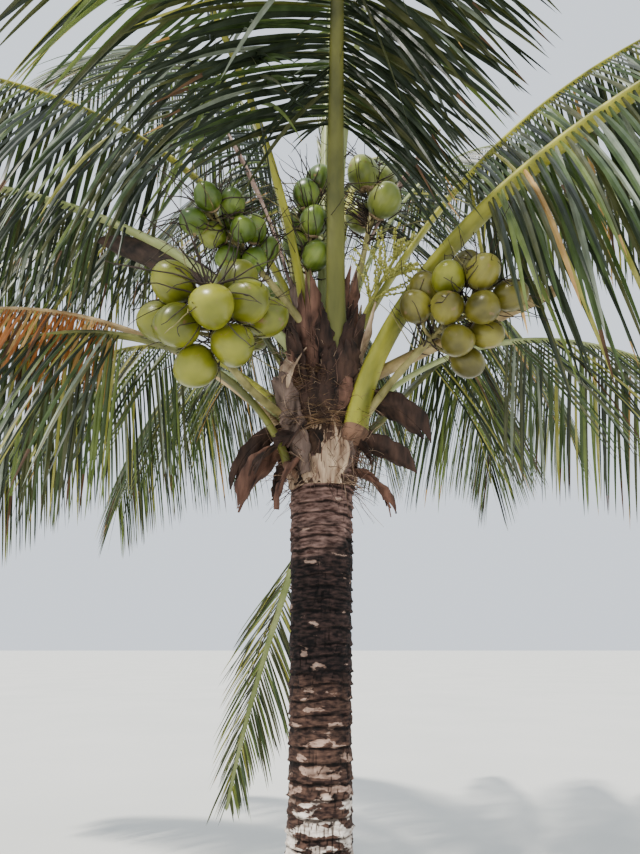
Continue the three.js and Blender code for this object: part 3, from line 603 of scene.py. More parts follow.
# %% Loft the ribs
STEM_WIDTH = [(-0.060, 0.130), (0.100, 0.104), (0.350, 0.084), (1.200, 0.072), (3.000, 0.034), (4.800, 0.011)]
STEM_DEPTH = [(-0.060, 0.064), (0.100, 0.052), (0.350, 0.044), (1.200, 0.036), (3.000, 0.020), (4.800, 0.009)]
STALK_SHARE = 0.27
LEAFY_END = 0.985
HEEL_SINK = 0.034
HEEL_BACK = 0.045
HEEL_PARTS = (0.35, 0.7, 1.0, 1.6)
HEEL_NARROWS = 0.28
HOLLOW_DEPTH = 0.75
HOLLOW_RUN = 1.6
ROUND_POWER = 0.7
TOP_NARROWS = 0.25
RIB_SIDES = 18
RIB_STATIONS = 74
FOOT_CROWDING = 1.35


def rib_ring(frond, path, share):
    """A ring round the rib: round below, narrower and hollow above."""
    _, right, upper = frame_at(frond, share)
    distance = share * frond["length"]
    half_width = read(STEM_WIDTH, distance) * frond["girth"] / 2
    half_depth = read(STEM_DEPTH, distance) * frond["girth"] / 2
    turn = round_turns(RIB_SIDES)
    across, above = np.cos(turn), np.sin(turn)
    top = above > 0
    hollow = HOLLOW_DEPTH * np.clip(1 - distance / HOLLOW_RUN, 0, 1)
    flat = np.sign(above) * np.abs(above) ** ROUND_POWER
    above = np.where(top, flat * (1 - hollow * (1 - np.abs(across)) ** 1.5), flat)
    across = across * np.where(top, 1 - TOP_NARROWS * np.abs(above), 1)
    middle = point_at(frond, path, share)
    return middle + np.outer(across * half_width, right) + np.outer(above * half_depth, upper)


def rib_rings(frond, path):
    """Rings from the heel, which is sunk into the head, to the tip."""
    shares = np.linspace(0, 1, RIB_STATIONS) ** FOOT_CROWDING
    rings = [rib_ring(frond, path, share) for share in shares]
    if not frond.get("spear"):
        foot = rings[0]
        middle = foot.mean(axis=0)
        bearing = math.radians(frond["foot"])
        inward = np.array([-math.cos(bearing), -math.sin(bearing), 0]) * HEEL_SINK
        back = -HEEL_BACK * frame_at(frond, 0)[0]
        for part in HEEL_PARTS:
            narrow = 1 - HEEL_NARROWS * (part - HEEL_PARTS[0])
            rings.insert(0, middle + (foot - middle) * narrow + (inward + back) * part)
    tip = rings[-1].mean(axis=0)
    rings.append(tip + (rings[-1] - tip) * 0.05 + frame_at(frond, 1)[0] * 0.02)
    return np.array(rings)


ribs = Gather("frond_ribs", RIB_FINISHES)
for number, frond in enumerate(FRONDS):
    rings = rib_rings(frond, frond_paths[frond["name"]])
    tint = RIB_TINTS.get(frond["name"], number % 3)
    marks = np.full(len(rings) - 1, tint)
    if not frond.get("spear"):
        marks[:len(HEEL_PARTS) + 1] = RIB_FOOT
    ribs.grid(rings, marks, closed=True)

# %% [markdown]
# ## Leaflets
# Each rib carries about a hundred and twenty pairs of leaflets, and the tallest one in front nearly twice
# as many, which hang as a curtain. A leaflet is a long blade, folded along its middle, that leaves the rib
# forwards and sideways and then bends over with its own weight. The measured frond has ten large leaflets
# a side; where one was shortened or left out for want of room, the fine ones beside it must be short as
# well. So the code first looks for each large leaflet's tip among the frond's points.

# %% The rule of a leaflet
LEAFLET_LENGTH = 1.200
LEAFLET_STEPS = 10
FORWARD_FIRST = 64
FORWARD_LOSS = 27
LEAFLET_LIFT = -8
SINE_START = 0.24
SINE_RUN = 0.66
SINE_POWER = 0.6
DROOP = 3.0
DRY_DROOP = 4.6
FIRST_DROOP = 0.5
DROOP_POWER = 1.3
SPEAR_FORWARD = 12
FULL_FROND = 4.400
LARGE_PAIRS = 10
LENGTH_TRIES = (1, 0.8, 0.6, 0.45)
TIP_REACH = 0.004
UP = np.array([0, 0, 1.0])


def leafy_share(along01):
    """A place from 0 to 1 of the leafy part, as a share of the whole rib."""
    return STALK_SHARE + (LEAFY_END - STALK_SHARE) * along01


def leaflet_length(frond, along01):
    full = LEAFLET_LENGTH * math.sin(math.pi * (SINE_START + SINE_RUN * along01)) ** SINE_POWER
    return full * frond.get("reach", 1) * frond["length"] / FULL_FROND


def leaflet_line(frond, path, along01, side, length, weight_share=1.0, forward_more=0.0, lift_more=0.0):
    """The line of a leaflet that leaves the rib forwards and sideways, then bends over."""
    share = leafy_share(along01)
    along, right, upper = frame_at(frond, share)
    forward = (FORWARD_FIRST - FORWARD_LOSS * along01) * frond.get("forward", 1)
    forward = math.radians((SPEAR_FORWARD if frond.get("spear") else forward) + forward_more)
    lift = math.radians(LEAFLET_LIFT + lift_more)
    start = (along * math.cos(forward) + right * side * math.sin(forward) * math.cos(lift)
             + upper * math.sin(forward) * math.sin(lift))
    weight = 0 if frond.get("spear") else DRY_DROOP if frond.get("dry") else DROOP
    weight *= frond.get("slack", 1) * (1 - side * frond.get("lean", 0))
    outwards = ((np.arange(LEAFLET_STEPS) + 0.5) / LEAFLET_STEPS) ** DROOP_POWER
    droop = weight * weight_share * (FIRST_DROOP + (1 - FIRST_DROOP) * outwards)
    directions = start - np.outer(droop, UP)
    directions /= np.linalg.norm(directions, axis=1, keepdims=True)
    steps = np.vstack([np.zeros(3), np.cumsum(directions * length / LEAFLET_STEPS, axis=0)])
    return point_at(frond, path, share) + steps


def frond_nodes(frond):
    """The frame's nodes of one frond; a long one is split at its bend into two."""
    wanted = (f"frond_{frond['name']}", f"frond_{frond['name']}_end")
    return [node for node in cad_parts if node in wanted]


def node_points(names):
    """All corners of the frame's nodes with the given names."""
    return np.array([vertex.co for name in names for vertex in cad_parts[name].data.vertices])


def room_shares(frond, path):
    """For each side, the share of its full length that each large leaflet was given."""
    points = node_points(frond_nodes(frond))
    found = {1: [], -1: []}
    for index in range(LARGE_PAIRS):
        for side in (1, -1):
            share = 0.0
            for attempt in LENGTH_TRIES:
                place = (index + 0.5) / LARGE_PAIRS
                tip = leaflet_line(frond, path, place, side, leaflet_length(frond, place) * attempt)[-1]
                if np.abs(points - tip).sum(axis=1).min() < TIP_REACH:
                    share = attempt
                    break
            found[side].append(share)
    return found


rooms = {frond["name"]: room_shares(frond, frond_paths[frond["name"]]) for frond in FRONDS}
all_shares = [share for room in rooms.values() for shares in room.values() for share in shares]
print("large leaflets at full length:", all_shares.count(1), "and left out:", all_shares.count(0))

# %% [markdown]
# Sunlit leaflets glow when the light comes through them, so the leaf finish mixes a little of the
# translucent shader into the principled one. The colours are dealt out leaflet by leaflet: a frond in
# shade draws mostly deep green, a fresh one more of the lighter greens, and the dead one straw and rust.

# %% Finishes of the leaflets


def leaf_finish(name, dark, light, through, share_through=0.3, roughness=0.38):
    """A leaf with fine lengthwise veins that lets some light through."""
    material = fibre_finish(name, dark, light, roughness, 14, (1, 1, 0.5), 0.001, 0.25)
    nodes = material.node_tree.nodes
    glow = nodes.new("ShaderNodeBsdfTranslucent")
    glow.inputs["Color"].default_value = (*through, 1)
    both = nodes.new("ShaderNodeMixShader")
    both.inputs["Fac"].default_value = share_through
    output = nodes["Material Output"]
    join(material, shader_of(material).outputs["BSDF"], both.inputs[1])
    join(material, glow.outputs["BSDF"], both.inputs[2])
    join(material, both.outputs["Shader"], output.inputs["Surface"])
    return material


LEAF_FINISHES = [leaf_finish(*row) for row in [
    ("leaf_deep_green", (0.009, 0.015, 0.008), (0.034, 0.046, 0.026), (0.05, 0.08, 0.015), 0.10, 0.34),
    ("leaf_olive", (0.034, 0.041, 0.014), (0.098, 0.100, 0.044), (0.13, 0.16, 0.02), 0.15),
    ("leaf_mid_green", (0.024, 0.044, 0.014), (0.070, 0.106, 0.040), (0.13, 0.21, 0.03), 0.18),
    ("leaf_light_green", (0.085, 0.125, 0.032), (0.20, 0.245, 0.085), (0.28, 0.38, 0.05), 0.25),
    ("leaf_yellow_green", (0.24, 0.235, 0.040), (0.47, 0.44, 0.14), (0.50, 0.50, 0.08), 0.30),
    ("leaf_straw", (0.36, 0.20, 0.06), (0.66, 0.43, 0.16), (0.60, 0.32, 0.08), 0.25, 0.6),
    ("leaf_rust", (0.24, 0.075, 0.016), (0.52, 0.20, 0.05), (0.60, 0.20, 0.03), 0.3, 0.65),
    ("leaf_dead_brown", (0.050, 0.026, 0.014), (0.16, 0.088, 0.045), (0.12, 0.06, 0.02), 0.15, 0.75),
    # Painted reflection: this pale grey-green finish stands for glints of the sky on the leaflets; every deal
    # but the dry one gives it a few.
    ("leaf_painted_glint", (0.15, 0.18, 0.13), (0.34, 0.38, 0.30), (0.20, 0.24, 0.14), 0.10, 0.30),
]]
DEALS = {
    # Painted shade: the shade deal gives the tallest front frond, which hangs in shadow against the sky,
    # mostly the darkest greens.
    "shade": (0.62, 0.20, 0.11, 0.02, 0.01, 0, 0, 0, 0.04),
    "deep": (0.46, 0.20, 0.18, 0.05, 0.02, 0, 0, 0, 0.09),
    "mid": (0.34, 0.22, 0.23, 0.09, 0.04, 0.01, 0, 0, 0.07),
    "fresh": (0.20, 0.20, 0.27, 0.17, 0.08, 0.01, 0, 0.01, 0.06),
    "olive": (0.05, 0.44, 0.15, 0.12, 0.20, 0.01, 0, 0.01, 0.02),
    "dry": (0, 0, 0, 0, 0.02, 0.36, 0.50, 0.12, 0),
}
LEAF_STRAW, LEAF_BROWN = 5, 7
print(len(LEAF_FINISHES), "finishes for leaflets")

# %% [markdown]
# No two leaflets are alike: each has its own length, width, twist, fold and droop, a few are broken and
# some have withered tips. A modifier could scatter copies of one leaflet, but copies look alike, so every
# blade is made on its own from a seeded draw. Fronds of one side of the crown share one mesh.

# %% Grow the leaflets
PAIRS = 122
DRY_PAIRS = 150
LEAFLET_WIDTH = 0.025
LEAST_ROOM = 0.62
LEAST_LEFT_OUT = 0.5
OUT_OF_STEP = 0.3
LENGTH_LIMITS = (0.88, 1.0)
WIDTH_LIMITS = (0.85, 1.1)
ROOTED_OUT = 0.7
DROOP_CHANCE = 0.2
BROKEN_SHARE = 0.05
BROKEN_WEIGHT = 1.5
ALTERNATE_LIFT = (-4, 6)
FORWARD_CHANCE = 2.5
LIFT_CHANCE = 3
TWIST_CHANCE = 0.45
BLADE_FOLD = 0.65
FOLD_CHANCE = 0.15
FOLD_OPENS = 0.6
WITHERED_TIPS = 0.14
STATIONS = np.array([0, 0.05, 0.13, 0.24, 0.37, 0.5, 0.63, 0.76, 0.88, 0.96, 1.0])
OUTLINE = np.array([0.42, 0.70, 0.92, 1.0, 1.0, 0.95, 0.84, 0.66, 0.42, 0.18, 0.02])


def read_line(points, places):
    """Points at the given places, from 0 to 1, along a line of points."""
    evenly = np.linspace(0, 1, len(points))
    return np.stack([np.interp(places, evenly, points[:, axis]) for axis in range(3)], axis=-1)


def blade(line, rib_along, upper, width, twist, fold):
    """Two halves of a folded blade along a line, each a grid of stations by two points."""
    middle = read_line(line, STATIONS)
    direction = np.gradient(middle, axis=0)
    direction /= np.linalg.norm(direction, axis=1, keepdims=True)
    across = rib_along - direction * (direction @ rib_along)[:, None]
    across /= np.linalg.norm(across, axis=1, keepdims=True)
    normal = np.cross(direction, across)
    if normal[0] @ upper < 0:
        normal = -normal
    angle = (twist * STATIONS)[:, None]
    twisted = across * np.cos(angle) + normal * np.sin(angle)
    normal = normal * np.cos(angle) - across * np.sin(angle)
    across = twisted
    half = (width / 2 * OUTLINE)[:, None]
    bent = (fold * (1 - FOLD_OPENS * STATIONS))[:, None]
    one = middle + (across * np.cos(bent) - normal * np.sin(bent)) * half
    other = middle + (-across * np.cos(bent) - normal * np.sin(bent)) * half
    return np.stack([one, middle], axis=1), np.stack([middle, other], axis=1)


def grow_leaflets(gather, frond, chance):
    """All the leaflets of one frond."""
    path, room = frond_paths[frond["name"]], rooms[frond["name"]]
    large_places = (np.arange(LARGE_PAIRS) + 0.5) / LARGE_PAIRS
    pairs = (DRY_PAIRS if frond.get("dry") else PAIRS) * frond.get("close", 1)
    pairs = round(pairs * frond["length"] / FULL_FROND)
    for index, side in [(index, side) for index in range(pairs) for side in (1, -1)]:
        along01 = (index + 0.5 + chance.uniform(-OUT_OF_STEP, OUT_OF_STEP)) / pairs
        given = np.interp(along01, large_places, room[side])
        least = LEAST_ROOM if given > 0 else LEAST_LEFT_OUT
        length = leaflet_length(frond, along01) * max(given, least) * chance.uniform(*LENGTH_LIMITS)
        length *= 1 - frond.get("short_first", 0) * (1 - along01)
        swing = chance.normal(0, 1, 5)
        broken = chance.uniform() < BROKEN_SHARE
        weight = 1 + DROOP_CHANCE * abs(swing[0]) + (BROKEN_WEIGHT if broken else 0)
        forward = FORWARD_CHANCE * swing[1]
        lift = LIFT_CHANCE * swing[2] + ALTERNATE_LIFT[index % 2]
        line = leaflet_line(frond, path, along01, side, length, weight, forward, lift)
        stem_share = leafy_share(along01)
        along, right, upper = frame_at(frond, stem_share)
        rib_half = read(STEM_WIDTH, stem_share * frond["length"]) * frond["girth"] / 2
        line = line + right * side * rib_half * ROOTED_OUT
        width = LEAFLET_WIDTH * min(1.15, 0.45 + 0.6 * length) * chance.uniform(*WIDTH_LIMITS)
        marks = np.full(len(STATIONS) - 1, chance.choice(len(LEAF_FINISHES), p=DEALS[frond["tint"]]))
        withered = chance.uniform()
        if withered < WITHERED_TIPS:
            marks[-1 - int(withered * 20):] = LEAF_STRAW if withered < WITHERED_TIPS / 2 else LEAF_BROWN
        fold = BLADE_FOLD + FOLD_CHANCE * swing[4]
        for half in blade(line, along, upper, width, TWIST_CHANCE * swing[3], fold):
            gather.grid(half, marks)


CROWN_SIDES = {
    "leaflets_front": ["front_high", "right_big", "front_left_high", "front_right_high", "spear"],
    "leaflets_left": ["left_mid", "left_high", "left_low", "left_back_mid"],
    "leaflets_right": ["right_high", "right_low", "right_hanging", "back_right_mid", "back_right_high"],
    "leaflets_back": ["back_hanging", "back_left_low", "back_left_fan", "back_high", "back_inner", "back_mid",
                      "back_left_mid", "back_left_high"],
    "leaflets_dry": ["left_dry"],
}
fronds_by_name = {frond["name"]: frond for frond in FRONDS}
chance = np.random.default_rng(101)
for piece_name, names in CROWN_SIDES.items():
    leaflets = Gather(piece_name, LEAF_FINISHES)
    for name in names:
        grow_leaflets(leaflets, fronds_by_name[name], chance)
    nodes = [node for name in names for node in frond_nodes(fronds_by_name[name])]
    leaflets.build(nodes)
ribs.build([node for frond in FRONDS for node in frond_nodes(frond)])

# %% [markdown]
# ## Round stems and tubes
# Bunch stalks, twigs, dead threads and fibres are all round stems along a line of points. One helper
# carries a ring along the line without letting it spin: each ring's side direction is the last one, made
# square to the new heading.

# %% A tube along points


def square_to(axis):
    """Two directions that are square to the axis and to each other."""
    side = np.cross(axis, UP if abs(axis[2]) < 0.9 else np.array([1.0, 0, 0]))
    side /= np.linalg.norm(side)
    return side, np.cross(axis, side)


def tube(points, radii, sides, flat=1.0):
    """Rings round a line; flat squeezes the section."""
    points = np.asarray(points, float)
    direction = np.gradient(points, axis=0)
    direction /= np.linalg.norm(direction, axis=1, keepdims=True)
    side = square_to(direction[0])[0]
    turn = -round_turns(sides)
    rings = []
    for point, heading, radius in zip(points, direction, np.broadcast_to(radii, len(points))):
        side = side - heading * (side @ heading)
        side /= np.linalg.norm(side)
        other = np.cross(side, heading)
        rings.append(point + radius * (np.outer(np.cos(turn), side) + flat * np.outer(np.sin(turn), other)))
    return np.array(rings)


def drawn_shut(rings):
    """The same rings with a tiny one more at each end, which closes them."""
    first, last = rings[0].mean(axis=0), rings[-1].mean(axis=0)
    return np.concatenate([[first + (rings[0] - first) * 0.02], rings, [last + (rings[-1] - last) * 0.02]])


def closed_tube(points, radii, sides, flat=1.0):
    return drawn_shut(tube(points, radii, sides, flat))


def bow(start, end, sag, steps, sideways=0.0):
    """A line from start to end that hangs by the sag in its middle."""
    share = np.linspace(0, 1, steps)[:, None]
    hump = 4 * share * (1 - share)
    across = np.cross(end - start, UP)
    size = np.linalg.norm(across)
    across = across / size if size > 1e-6 else np.array([1.0, 0, 0])
    return start + (end - start) * share - UP * sag * hump + across * sideways * hump


# %% [markdown]
# ## Bunches of nuts
# The nuts of a bunch crowd round the end of a curved stalk. The rule deals their centres round the stalk
# by the golden share and then lets them push each other apart. A nut that had no room in the measured
# part is left out here too: its bunch has no points round that centre.

# %% Bunches: the rows and the rule
PUSH_ROUNDS = 60
TWIG_FROM = 0.9
TWIG_RUN = 0.6
RING_TAPER = 0.45
NUT_FOUND = (0.97, 1.13)
LEAST_CORNERS = 12
BUNCH_KEYS = ("name", "foot", "base", "heading", "sweep", "rise", "fall", "length",
              "nuts", "nut", "ring", "start", "spread", "middle", "skin")
BUNCHES = rows_of(BUNCH_KEYS, [
    ("nuts_front_left", 204, 2.530, 221, 60, 15, 19, 0.910, 10, 0.172, 0.230, 0.72, 290, 67, 0),
    ("nuts_upper_left", 250, 2.920, 194, 47, 60, 9, 0.850, 10, 0.126, 0.084, 0.57, 120, 14, 1),
    ("nuts_middle_left", 234, 3.060, 253, 60, 88, 84, 0.810, 6, 0.150, 0.050, 0.37, 180, 164, 1),
    ("nuts_middle_right", -1, 3.055, 4, 60, 72, 84, 1.150, 4, 0.186, 0.165, 0.59, 302, 349, 3),
    ("nuts_right", -15, 2.505, -33, -5, 49, 22, 0.920, 11, 0.150, 0.209, 0.62, 177, 165, 4),
    ("nuts_back", 90, 2.880, 90, 0, 60, 4, 0.900, 7, 0.170, 0.180, 0.72, 300, 90, 1),
    ("nuts_back_left", 121, 2.880, 130, 0, 68, 24, 0.680, 6, 0.170, 0.170, 0.6, 300, 90, 0),
], {})


def nut_centres(bunch, path):
    """Centres dealt round the stalk's end, which then push each other apart."""
    centres = []
    for index in range(bunch["nuts"]):
        part = (index + 0.5) / bunch["nuts"]
        share = bunch["start"] + (1 - bunch["start"]) * part
        _, right, upper = frame_at(bunch, share)
        opening = (360 - bunch["spread"]) / 2
        turn = math.radians(bunch["middle"] + opening + bunch["spread"] * (index * GOLDEN_SHARE % 1))
        ring = bunch["ring"] * (1 - RING_TAPER * part)
        outwards = right * math.cos(turn) + upper * math.sin(turn)
        centres.append(point_at(bunch, path, share) + ring * outwards)
    for _ in range(PUSH_ROUNDS):
        for first in range(len(centres)):
            for second in range(first + 1, len(centres)):
                apart = centres[second] - centres[first]
                distance = np.linalg.norm(apart)
                if distance < bunch["nut"]:
                    push = apart / distance * (bunch["nut"] - distance) / 2
                    centres[first] = centres[first] - push
                    centres[second] = centres[second] + push
    return centres


def nut_places(bunch, path):
    """Centre, root and axis of each nut that the measured bunch has."""
    points = node_points([bunch["name"]])
    places = []
    for index, centre in enumerate(nut_centres(bunch, path)):
        part = (index + 0.5) / bunch["nuts"]
        root = point_at(bunch, path, bunch["start"] * TWIG_FROM + (1 - bunch["start"]) * part * TWIG_RUN)
        distance = np.linalg.norm(points - centre, axis=1) / (bunch["nut"] / 2)
        if np.count_nonzero((distance > NUT_FOUND[0]) & (distance < NUT_FOUND[1])) >= LEAST_CORNERS:
            axis = (centre - root) / np.linalg.norm(centre - root)
            places.append((centre, root, axis))
    return places


bunch_paths = {bunch["name"]: stem_path(bunch) for bunch in BUNCHES}
bunch_nuts = {bunch["name"]: nut_places(bunch, bunch_paths[bunch["name"]]) for bunch in BUNCHES}
print({name: len(places) for name, places in bunch_nuts.items()})

# %% [markdown]
# ## The nuts' skins
# A husk is waxy and blotched, with darker streaks that run from the stalk's end and fade towards the far
# end. The mesh's own chart has the turn as U and the way from the stalk to the far end as V, so noise that
# is stretched along V makes those streaks on every nut, however it hangs.

# %% Finishes of the nuts


def nut_finish(name, dark, light, bright, striped):
    """A waxy husk: soft blotches, streaks that fade towards the far end, and a few brown scuffs."""
    material = new_finish(name, 0.32, 0.45)
    blotches = noise(material, 5.5, detail=3)
    skin = ramp(material, blotches, [(0.34, dark), (0.50, light), (0.68, bright)])
    stripes = noise(material, 5.0, (3.0, 0.35, 1), 5, "UV")
    streaks = ramp(material, stripes, [(0.44, (0, 0, 0)), (0.62, (1, 1, 1))])
    fade = spread_over(material, coordinate(material, "UV", "Y"), 0.86, 0.30, 0.0, striped)
    share = maths(material, "MULTIPLY", streaks, fade)
    deep = ramp(material, blotches, [(0.3, tuple(0.45 * value for value in dark)), (0.7, dark)])
    striped_skin = mix(material, share, skin, deep)
    scuffs = ramp(material, noise(material, 23, detail=8), [(0.64, (0, 0, 0)), (0.71, (1, 1, 1))])
    brown = ramp(material, blotches, [(0.3, (0.13, 0.075, 0.025)), (0.7, (0.30, 0.20, 0.08))])
    join(material, mix(material, scuffs, striped_skin, brown), shader_of(material).inputs["Base Color"])
    shader_of(material).inputs["Coat Weight"].default_value = 0.10
    shader_of(material).inputs["Coat Roughness"].default_value = 0.3
    relief(material, noise(material, 45, detail=4), 0.18, 0.002)
    return material


NUT_FINISHES = [nut_finish(*row) for row in [
    ("nut_yellow_green", (0.085, 0.096, 0.006), (0.165, 0.175, 0.010), (0.270, 0.268, 0.024), 0.45),
    ("nut_green", (0.042, 0.082, 0.008), (0.110, 0.170, 0.018), (0.235, 0.305, 0.048), 0.85),
    ("nut_leaf_green", (0.060, 0.090, 0.008), (0.135, 0.170, 0.015), (0.245, 0.275, 0.040), 0.65),
    ("nut_pale_green", (0.130, 0.170, 0.024), (0.225, 0.265, 0.045), (0.350, 0.380, 0.080), 0.55),
    ("nut_bronze_green", (0.070, 0.060, 0.007), (0.150, 0.130, 0.014), (0.260, 0.235, 0.034), 0.65),
]]
CAP_FINISHES = [fibre_finish(*row) for row in [
    ("cap_tan", (0.17, 0.10, 0.055), (0.50, 0.36, 0.22), 0.75, 30, (1, 1, 1), 0.002, 0.6),
    ("cap_green", (0.16, 0.17, 0.05), (0.42, 0.40, 0.16), 0.65, 30, (1, 1, 1), 0.002, 0.5),
    ("cap_dark", (0.045, 0.030, 0.015), (0.20, 0.15, 0.065), 0.8, 30, (1, 1, 1), 0.002, 0.6),
]]
CAP_OF_SKIN = (2, 0, 1, 0, 2)
print(len(NUT_FINISHES), "finishes for nuts and", len(CAP_FINISHES), "for their caps")

# %% [markdown]
# A young coconut is a smooth, rounded husk with three soft sides, a little pointed at its far end. It
# hangs from a woody cap of overlapping scales. A scaled ball would look like a fruit from a shop, so the
# radius changes with the turn and the height, and the cap is a second skin that follows the nut.

# %% Make the nuts and their caps
NUT_LONGER = 1.1
NUT_NARROWER = 0.985
SOFT_SIDES = 0.045
EGG_SHAPE = 0.05
POINTED_END = 0.03
NUT_SIDES = 30
NUT_ROWS = 22
OWN_SKIN = 0.9
CAP_LAYERS = 2
CAP_REACH = 0.52
LAYER_SHORTER = 0.10
LOBE_DEPTH = 0.28
CAP_STAND = 0.006
LAYER_STAND = 0.003
CAP_SINK = 0.002
CAP_ROWS = 7


def nut_point(centre, axis, radius, turn, fall, stand, roll):
    """Points on a nut: fall is 0 at the stalk's end and pi at the far end."""
    side, other = square_to(axis)
    soft_sides = 1 + SOFT_SIDES * np.cos(3 * (turn + roll)) * np.sin(fall)
    egg = 1 + EGG_SHAPE * np.cos(fall)
    across = radius * NUT_NARROWER * np.sin(fall) * soft_sides * egg + stand * np.sin(fall)
    tip = POINTED_END * radius * np.clip(-np.cos(fall) - 0.9, 0, 1)
    rise = -np.cos(fall) * (radius * NUT_LONGER + stand) + tip
    outwards = np.cos(turn)[..., None] * side + np.sin(turn)[..., None] * other
    return centre + axis * rise[..., None] + across[..., None] * outwards


nuts = Gather("nuts", NUT_FINISHES)
caps = Gather("nut_caps", CAP_FINISHES)
chance = np.random.default_rng(202)
for bunch in BUNCHES:
    for centre, root, axis in bunch_nuts[bunch["name"]]:
        radius = bunch["nut"] / 2 * chance.uniform(0.95, 1.0)
        roll = chance.uniform(0, 2 * np.pi)
        turn, fall = np.meshgrid(round_turns(NUT_SIDES), np.linspace(0.004, np.pi - 0.004, NUT_ROWS))
        skin = bunch["skin"] if chance.uniform() < OWN_SKIN else int(chance.integers(0, len(NUT_FINISHES)))
        nuts.grid(nut_point(centre, axis, radius, turn, fall, 0, roll), skin, closed=True)
        for layer in range(CAP_LAYERS):
            lobes = np.abs(np.cos(1.5 * (turn[0] + roll) + layer * np.pi / 2))
            reach = (CAP_REACH - LAYER_SHORTER * layer) * (1 - LOBE_DEPTH + LOBE_DEPTH * lobes ** 0.6)
            share = np.linspace(0.01, 1, CAP_ROWS)[:, None]
            cap_turn = np.broadcast_to(turn[0], (CAP_ROWS, NUT_SIDES))
            stand = (CAP_STAND + LAYER_STAND * layer) * (0.4 + 0.9 * share) * radius / 0.1 + 0 * cap_turn
            sunk = -CAP_SINK + 0 * stand
            outer = nut_point(centre, axis, radius, cap_turn, share * reach, stand, roll)
            inner = nut_point(centre, axis, radius, cap_turn[::-1], (share * reach)[::-1], sunk, roll)
            caps.grid(np.concatenate([outer, inner[:1]]), CAP_OF_SKIN[bunch["skin"]], closed=True)

# %% [markdown]
# ## Stalks, twigs and threads of the bunches
# The stalk of a bunch is thick and ribbed. From it a twig runs to each nut. Most flowers never set
# fruit, and their bare twigs stay on as black, wiry threads that stand out round the nuts. A thread that
# would run into a nut is laid over its skin.

# %% Grow stalks and twigs
STALK_FINISHES = [fibre_finish(*row) for row in [
    ("bunch_stalk", (0.12, 0.11, 0.030), (0.38, 0.33, 0.13), 0.6, 12, (1, 1, 0.6), 0.003, 0.6),
    ("nut_twig", (0.10, 0.085, 0.030), (0.34, 0.30, 0.12), 0.65, 18, (1, 1, 1), 0.002, 0.6),
    ("dead_thread", (0.012, 0.008, 0.006), (0.060, 0.040, 0.028), 0.8, 24, (1, 1, 1), 0.001, 0.5),
]]
STALK_RADII = (0.024, 0.012)
STALK_RINGS = 34
TWIG_RADII = (0.009, 0.0075)
TWIG_RINGS = 10
TWIG_SAG = 0.10
TWIG_END = 0.97
THREADS = 100
THREAD_STEPS = 11
ZIGZAG = 0.11
THREAD_DROOP = 0.05
THREAD_FROM = 0.75
THREAD_LENGTHS = (0.18, 0.42)
THREAD_RADII = (0.0042, 0.0016)
THREAD_STANDS_OFF = 0.004
DEAD_SHARE = 0.88


def dead_thread(start, direction, length, chance):
    """A dry twig that zigzags a little and hangs at its end."""
    point = start
    heading = direction / np.linalg.norm(direction)
    points = [start]
    for step in range(THREAD_STEPS):
        heading = heading + chance.normal(0, ZIGZAG, 3) - UP * THREAD_DROOP * step / THREAD_STEPS
        heading /= np.linalg.norm(heading)
        point = point + heading * length / THREAD_STEPS
        points.append(point)
    return points


def laid_over(points, centres, radius):
    """The same points, with those inside a nut brought out to its skin."""
    laid = []
    for point in points:
        for centre in centres:
            away = point - centre
            distance = np.linalg.norm(away)
            if distance < radius + THREAD_STANDS_OFF:
                point = centre + away / distance * (radius + THREAD_STANDS_OFF)
        laid.append(point)
    return laid


stalks = Gather("bunch_stalks", STALK_FINISHES)
threads = Gather("dead_threads", STALK_FINISHES)
chance = np.random.default_rng(303)
for bunch in BUNCHES:
    path = bunch_paths[bunch["name"]]
    shares = np.linspace(-0.04, 1, STALK_RINGS)
    line = [point_at(bunch, path, share) for share in shares]
    radii = np.interp(shares, (0, 1), STALK_RADII) * (1 + 0.06 * np.sin(40 * shares))
    stalks.grid(closed_tube(line, radii, 14, 0.85), 0, closed=True)
    for centre, root, axis in bunch_nuts[bunch["name"]]:
        stem_end = centre - axis * bunch["nut"] / 2 * NUT_LONGER * TWIG_END
        sag = TWIG_SAG * np.linalg.norm(stem_end - root)
        line = bow(root, stem_end, sag, TWIG_RINGS, chance.uniform(-0.015, 0.015))
        stalks.grid(closed_tube(line, np.linspace(*TWIG_RADII, TWIG_RINGS), 8), 1, closed=True)
    centres = [centre for centre, root, axis in bunch_nuts[bunch["name"]]]
    first_thread = bunch["start"] * THREAD_FROM
    for _ in range(THREADS):
        share = first_thread + (1 - first_thread) * chance.uniform()
        along, right, upper = frame_at(bunch, share)
        turn = chance.uniform(0, 2 * np.pi)
        out = along * chance.uniform(0.0, 0.9) + right * math.cos(turn) + upper * (math.sin(turn) + 0.2)
        points = dead_thread(point_at(bunch, path, share), out, chance.uniform(*THREAD_LENGTHS), chance)
        points = laid_over(points, centres, bunch["nut"] / 2)
        radii = np.linspace(*THREAD_RADII, len(points)) * chance.uniform(0.7, 1.1)
        threads.grid(closed_tube(points, radii, 5), 2 if chance.uniform() < DEAD_SHARE else 1, closed=True)
bunch_names = [bunch["name"] for bunch in BUNCHES]
nuts.build(bunch_names)
caps.build()
stalks.build()
threads.build()

# %% [markdown]
# ## The flower spray
# A spray that has just opened carries dozens of cream-green branches, each set with buds like beads.
# The measured spray has nine branches. Each becomes three here, close round the same line, and a bead is
# a small ball of a few faces, because at this distance more would not show.

